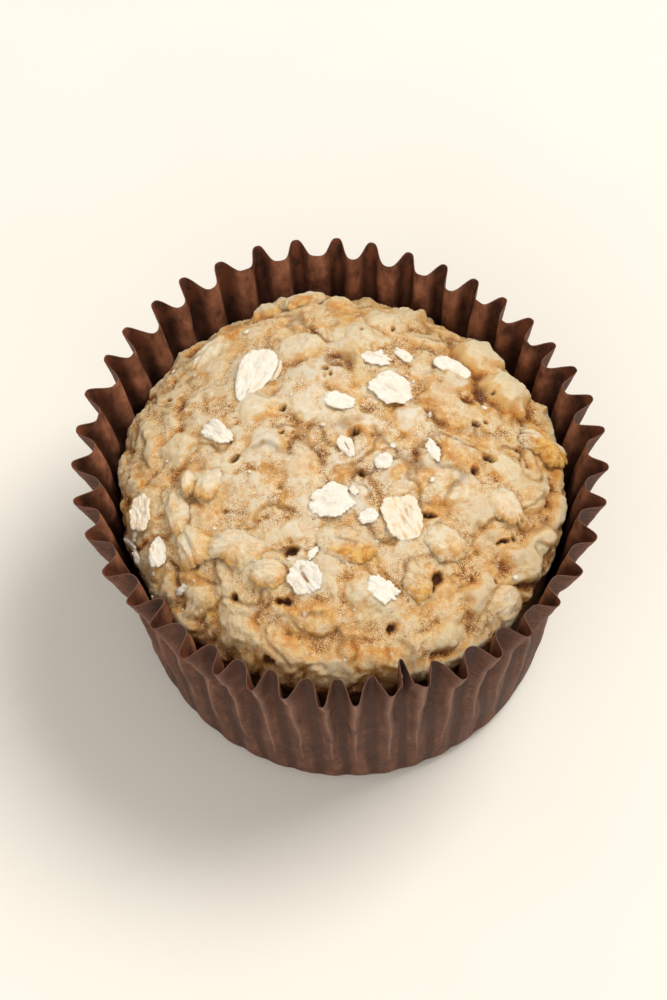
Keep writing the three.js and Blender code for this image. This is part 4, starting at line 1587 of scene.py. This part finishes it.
@dataclass(frozen=True)
class OatFlakes:
    """Oats of one kind on the crown: wavy plates with rounded rims, seated on the crumb."""

    cake: Cake
    flakes: Sequence[Flake]
    rings: int = 14
    around: int = 96
    wrinkle: float = 0.2
    wrinkle_husk: float = 0.14
    slit_width: float = 0.1
    slit_depth: float = 0.25
    probes: int = 9
    probe_reach: float = 0.8
    outward_pull: float = 0.6
    crumb_below: float = 80.0

    def seat(self, flake: Flake) -> tuple[np.ndarray, np.ndarray]:
        """Finds how a flake rests on the crumb.

        A plane is fitted by least squares to the crumb under the flake and turned part of the way to
        the smooth crown. The flake's own pitch and roll are added, and the plane is raised until most of
        that crumb is below it, and then sunk by the flake's own depth.

        Args:
            flake: The flake.

        Returns:
            The middle of its underside, and three unit rows: along it, across it and out of the crumb.
        """
        line = np.linspace(-self.probe_reach, self.probe_reach, self.probes)
        s, t = (axis.ravel() for axis in np.meshgrid(line, line))
        inside = s**2 + t**2 < 0.7
        heading, side = turned(flake.turn)[:2], turned(flake.turn + 90.0)[:2]
        spots = s[inside, None] * heading * flake.length / 2 + t[inside, None] * side * flake.width / 2
        form = self.cake.form
        base, out = form.over(form.under(spots + np.array([flake.x, flake.y])))
        crumb = base + out * self.cake.relief(base)["height"][:, None]
        centre = crumb.mean(axis=0)
        normal = np.linalg.svd(crumb - centre)[2][2]
        normal = normal * np.sign(normal @ out.mean(axis=0))
        normal = unit(normal + self.outward_pull * unit(out.mean(axis=0)))
        along = turned(flake.turn)
        along = unit(along - along @ normal * normal)
        wide = np.cross(normal, along)
        pitch, roll = math.tan(math.radians(flake.pitch)), math.tan(math.radians(flake.roll))
        normal = unit(normal - pitch * along - roll * wide)
        along = unit(along - along @ normal * normal)
        level = np.percentile((crumb - centre) @ normal, self.crumb_below) - flake.sunk
        return centre + level * normal, np.stack([along, np.cross(normal, along), normal])

    def plate(self, flake: Flake, number: int) -> Surface:
        """Builds one flake.

        Its outline is a superellipse with seeded notches, narrowed towards its heading end. Both faces
        follow one wavy sheet, which curls up at the sides and droops by the square of the way out. They
        part by a thickness that closes at the rim as the root of one minus a power of the share of the
        radius: a high power makes a flat plate, a low one a cushion. A slit is a groove along the middle
        of the upper face.

        Args:
            flake: The flake.
            number: Its number, which seeds its outline and wrinkles.

        Returns:
            The closed plate with its marks.
        """
        noise = SmoothNoise(100 + number)
        turn = 360.0 * np.arange(self.around) / self.around
        out = turned(turn)
        power = flake.squareness
        reach = (np.abs(out[:, 0]) ** power + np.abs(out[:, 1]) ** power) ** (-1.0 / power)
        ragged = 1.1 * noise.at(out, 0.75) + noise.at(out + 5.0, 0.3) + 0.8 * noise.at(out, 0.13)
        reach = reach * (1.0 + flake.ragged * ragged)
        share = np.concatenate([np.linspace(0.0, 0.9, self.rings)[1:], [0.97, 1.0]])
        s = share[:, None] * reach * out[:, 0]
        t = share[:, None] * reach * out[:, 1]
        t = t * (1.0 - flake.taper * s)
        grid = np.stack([s * flake.length / 2.0, t * flake.width / 2.0, np.zeros_like(s)], axis=-1)
        flat = grid.reshape(-1, 3)
        wave = noise.layered(flat * np.array([0.6, 1.2, 1.0]), 1.3, 3, 0.65).reshape(s.shape)
        sheet = self.wrinkle * wave + flake.curl * flake.width / 6.0 * (t**2 - 0.3)
        sheet = sheet - flake.droop * (s**2 + t**2)
        groove = np.exp(-((t / self.slit_width) ** 2)) * smooth_step(np.abs(s), 0.45, 0.25) * flake.slit
        closing = np.sqrt(np.clip(1.0 - share**flake.plumpness, 0.0, None))[:, None]
        half = flake.thickness / 2.0 * closing
        origin, axes = self.seat(flake)
        lift = flake.thickness / 2.0
        upper, lower = grid.copy(), grid.copy()
        upper[..., 2] = lift + sheet + half - self.slit_depth * groove
        lower[..., 2] = lift + sheet - half
        rings = np.concatenate([lower, upper[-2::-1]]) @ axes + origin
        pole = np.array([0.0, 0.0, lift + float(sheet[0].mean())])
        poles = [pole + [0.0, 0.0, sign * flake.thickness / 2.0] for sign in (-1.0, 1.0)]
        made = loft(poles[0] @ axes + origin, rings, poles[1] @ axes + origin)
        crease = np.maximum(groove, self.wrinkle_husk * smooth_step(wave, -0.25, -0.7))
        husk = np.concatenate([np.zeros_like(crease), crease[-2::-1]]).ravel()
        both = np.concatenate([grid, grid[-2::-1]]).reshape(-1, 3)
        rim = np.repeat(np.concatenate([share, share[-2::-1]]), self.around)
        made.marks = with_poles(self.marks(flake, both, rim, husk))
        return made

    def marks(
        self, flake: Flake, flat: np.ndarray, rim: np.ndarray, husk: np.ndarray
    ) -> dict[str, np.ndarray]:
        """Gives the raw oats' marks: cream tint, husk, and the places along and across the flake.

        Args:
            flake: The flake.
            flat: N by 3 places in the flake's own plane.
            rim: How near each point is to the rim, from 0 to 1.
            husk: How brown each point is.

        Returns:
            The marks, N numbers each.
        """
        return {
            "cream": np.full(len(rim), flake.cream),
            "husk": husk,
            "along": MM * (flat[:, 0] + 3.0 * flake.x),
            "across": MM * (flat[:, 1] + 3.0 * flake.y),
        }

    def dress(self, name: str, material: bpy.types.Material) -> None:
        """Builds every flake as one piece, in place of the muffin's solid.

        Args:
            name: The piece's name.
            material: Its finish.
        """
        made = joined([self.plate(flake, number) for number, flake in enumerate(self.flakes)])
        piece = made.piece(name, material)
        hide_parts("muffin")


@dataclass(frozen=True)
class SoakedOats(OatFlakes):
    """Oats half sunk in the crumb, in the crumb's own finish."""

    wrinkle: float = 0.24

    def marks(
        self, flake: Flake, flat: np.ndarray, rim: np.ndarray, husk: np.ndarray
    ) -> dict[str, np.ndarray]:
        """Gives the crumb's marks for an oat: cream on top, golden towards the front, brown in creases; the
        extra gold towards the front and the darker rim are painted shade.

        Args:
            flake: The oat.
            flat: N by 3 places in the oat's own plane.
            rim: How near each point is to the rim, from 0 to 1.
            husk: How brown each point is.

        Returns:
            The marks, N numbers each.
        """
        edge = smooth_step(rim, 0.5, 0.95)
        heading = turned(flake.turn)
        back = flat[:, 0] * heading[1] + flat[:, 1] * heading[0]
        # front: the side towards -Y, away from the main lamp; the extra gold and rim there are painted
        # shade.
        front = smooth_step(-back / (0.5 * flake.width), -0.2, 0.8)
        return {
            "cream": flake.cream * (1.0 - 0.6 * edge * front),
            "gold": np.maximum(flake.gold * (0.4 + 0.6 * front), edge * (0.4 + 0.4 * front)),
            "yellow": np.zeros(len(rim)),
            "brim": np.repeat(0.3 * self.cake.brim(np.array([[flake.x, flake.y]])), len(rim)),
            "rim": edge * (0.35 + 0.35 * front),
            "pore": 0.5 * husk,
            # Lower level and a steep tint at the rim: painted shade where the oat dips into the crumb.
            "level": 0.66 - 0.15 * edge - 0.2 * husk,
            "steep": 0.1 * edge,
        }


@dataclass(frozen=True)
class OatCrumbs:
    """Specks and slivers of raw oat on the crown, a small closed blob each."""

    cake: Cake
    count: int = 120
    around: int = 8
    shortest: float = 0.3
    longest: float = 1.25
    flatness: float = 0.4

    def spots(self) -> np.ndarray:
        """Spreads the crumbs: some near flakes, the rest over the whole crown.

        Returns:
            Their places from above, N by 2.
        """
        index = np.arange(self.count)
        flakes = np.array([[oat.x, oat.y, oat.length] for oat in RAW_OATS])[index % len(RAW_OATS)]
        reach = 0.5 * flakes[:, 2] + 0.4 + 2.5 * draws(index, 41) ** 2
        near = flakes[:, :2] + reach[:, None] * turned(360.0 * draws(index, 42))[:, :2]
        share = np.sqrt(draws(index, 43)) * 0.95 * self.cake.form.shoulder_radius
        spread = share[:, None] * turned(360.0 * draws(index, 44))[:, :2]
        return np.where((index % 5 < 2)[:, None], near, spread)

    def surface(self) -> Surface:
        """Builds every crumb: an ellipsoid of three rings and two poles, dented by noise.

        Returns:
            The crumbs as one surface.
        """
        form, index = self.cake.form, np.arange(self.count)
        base, out = form.over(form.under(self.spots()))
        length = self.shortest + (self.longest - self.shortest) * draws(index, 45) ** 4
        width = 0.4 + 0.5 * draws(index, 46)
        shape = np.stack([np.ones(self.count), width, np.full(self.count, self.flatness)], axis=1)
        size = length[:, None] * shape
        centre = base + out * (self.cake.relief(base)["height"] + 0.12 * length)[:, None]
        heading = turned(360.0 * draws(index, 47))
        along = unit(heading - np.einsum("ij,ij->i", heading, out)[:, None] * out)
        axes = np.stack([along, np.cross(out, along), out], axis=1)
        rise = np.radians([-50.0, 0.0, 50.0])[:, None, None]
        ring = turned(360.0 * np.arange(self.around) / self.around)[None]
        ball = np.cos(rise) * ring + np.sin(rise) * np.array([0.0, 0.0, 1.0])
        noise = SmoothNoise(23)
        parts = []
        for number in index:
            dents = 1.0 + 0.5 * noise.at(ball.reshape(-1, 3) + 7.0 * number, 0.8).reshape(3, -1, 1)
            rings = 0.5 * ball * dents * size[number] @ axes[number] + centre[number]
            pole = 0.5 * np.array([0.0, 0.0, size[number, 2]]) @ axes[number]
            parts.append(loft(centre[number] - pole, rings, centre[number] + pole))
        made = joined(parts)
        made.marks = {
            "cream": np.repeat(0.7 * draws(index, 48), len(parts[0].points)),
            "husk": np.repeat(0.6 * draws(index, 49) ** 4, len(parts[0].points)),
            "along": made.points[:, 0] * MM,
            "across": made.points[:, 1] * MM,
        }
        return made

    def dress(self, material: bpy.types.Material) -> None:
        """Builds every crumb as one piece, in place of the muffin's solid."""
        piece = self.surface().piece("raw_oat_crumbs", material)
        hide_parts("muffin")


# ------------------------------------------------------------------- studio


@dataclass(frozen=True)
class Lamp:
    """A square soft light: its place and its edge in metres, its power in watts and its colour."""

    name: str
    place: tuple[float, float, float]
    size: float
    power: float
    tint: tuple[float, float, float]


@dataclass(frozen=True)
class Studio:
    """Pale floor, soft lights and the camera."""

    floor_size: float = 6.0
    lens: float = 100.0
    sensor: float = 36.0
    picture: tuple[int, int] = (667, 1000)
    rim_at: tuple[float, float] = (338.7, 461.9)
    elevation: float = 60.0
    distance: float = 0.3688
    rim_height: float = 0.037
    sky: tuple[float, float, float] = (1.0, 0.98, 0.945)
    sky_strength: float = 0.65
    lit_at: tuple[float, float, float] = (0.0, 0.0, 0.03)
    lamps: tuple[Lamp, ...] = (
        Lamp("window", (0.48, 0.3, 0.98), 0.52, 12.3, (1.0, 0.985, 0.965)),
        Lamp("fill", (-0.2, -0.7, 0.75), 0.9, 4.9, (1.0, 0.98, 0.955)),
    )

    def floor(self) -> None:
        """Lays a square floor at height zero."""
        half = self.floor_size / 2.0
        corners = np.array([[-half, -half, 0.0], [half, -half, 0.0], [half, half, 0.0], [-half, half, 0.0]])
        mesh = bpy.data.meshes.new("floor")
        mesh.from_pydata(corners.tolist(), [], [[0, 1, 2, 3]])
        mesh.materials.append(FloorFinish().material())
        made = bpy.data.objects.new("floor", mesh)
        bpy.context.scene.collection.objects.link(made)

    def light(self, lamp: Lamp) -> None:
        """Hangs up a lamp that faces the muffin.

        Args:
            lamp: The lamp.
        """
        data = bpy.data.lights.new(lamp.name, "AREA")
        data.size = lamp.size
        data.energy = lamp.power
        data.color = lamp.tint
        made = bpy.data.objects.new(lamp.name, data)
        made.location = lamp.place
        aim = Vector(self.lit_at) - Vector(lamp.place)
        made.rotation_euler = aim.to_track_quat("-Z", "Y").to_euler()
        bpy.context.scene.collection.objects.link(made)

    def lights(self) -> None:
        """Sets a pale sky and a large soft light behind and above, with a weak one in front."""
        world = bpy.data.worlds.new("pale_sky")
        world.use_nodes = True
        back = world.node_tree.nodes["Background"]
        back.inputs["Color"].default_value = (*self.sky, 1.0)
        back.inputs["Strength"].default_value = self.sky_strength
        bpy.context.scene.world = world
        for lamp in self.lamps:
            self.light(lamp)

    def camera(self) -> None:
        """Sets the camera at the picture's angle.

        It looks down on the rim's middle from in front, and is turned by the small angle that brings
        the rim's middle to its place in the picture.
        """
        up_angle = math.radians(self.elevation)
        back = Vector((0.0, -math.cos(up_angle), math.sin(up_angle)))
        right = Vector((1.0, 0.0, 0.0))
        up = back.cross(right)
        rim = Vector((0.0, 0.0, self.rim_height))
        pixel = self.sensor / self.lens / max(self.picture) * self.distance
        aside = (self.rim_at[0] - self.picture[0] / 2.0) * pixel
        above = (self.picture[1] / 2.0 - self.rim_at[1]) * pixel
        place = rim + back * self.distance
        target = rim - right * aside - up * above
        data = bpy.data.cameras.new("camera")
        data.lens = self.lens
        data.sensor_width = self.sensor
        data.clip_start = 0.01
        data.clip_end = 20.0
        made = bpy.data.objects.new("camera", data)
        made.location = place
        made.rotation_euler = (target - place).to_track_quat("-Z", "Y").to_euler()
        bpy.context.scene.collection.objects.link(made)
        bpy.context.scene.camera = made

    def build(self) -> None:
        """Builds the studio and sets how light becomes colour."""
        self.floor()
        self.lights()
        self.camera()
        bpy.context.scene.view_settings.view_transform = "Standard"


def main() -> None:
    """Builds the case, the cake, its oats and the studio."""
    logging.basicConfig(level=logging.INFO, format="%(name)s: %(message)s")
    cake = Cake()
    PaperCase().dress()
    crumb = CrumbFinish().material()
    cake.dress(crumb)
    SoakedOats(cake, SOAKED_OATS).dress("soaked_oats", crumb)
    raw_oat = RawOatFinish().material()
    OatFlakes(cake, RAW_OATS).dress("raw_oat_flakes", raw_oat)
    OatCrumbs(cake).dress(raw_oat)
    Studio().build()


if __name__ == "__main__":
    main()
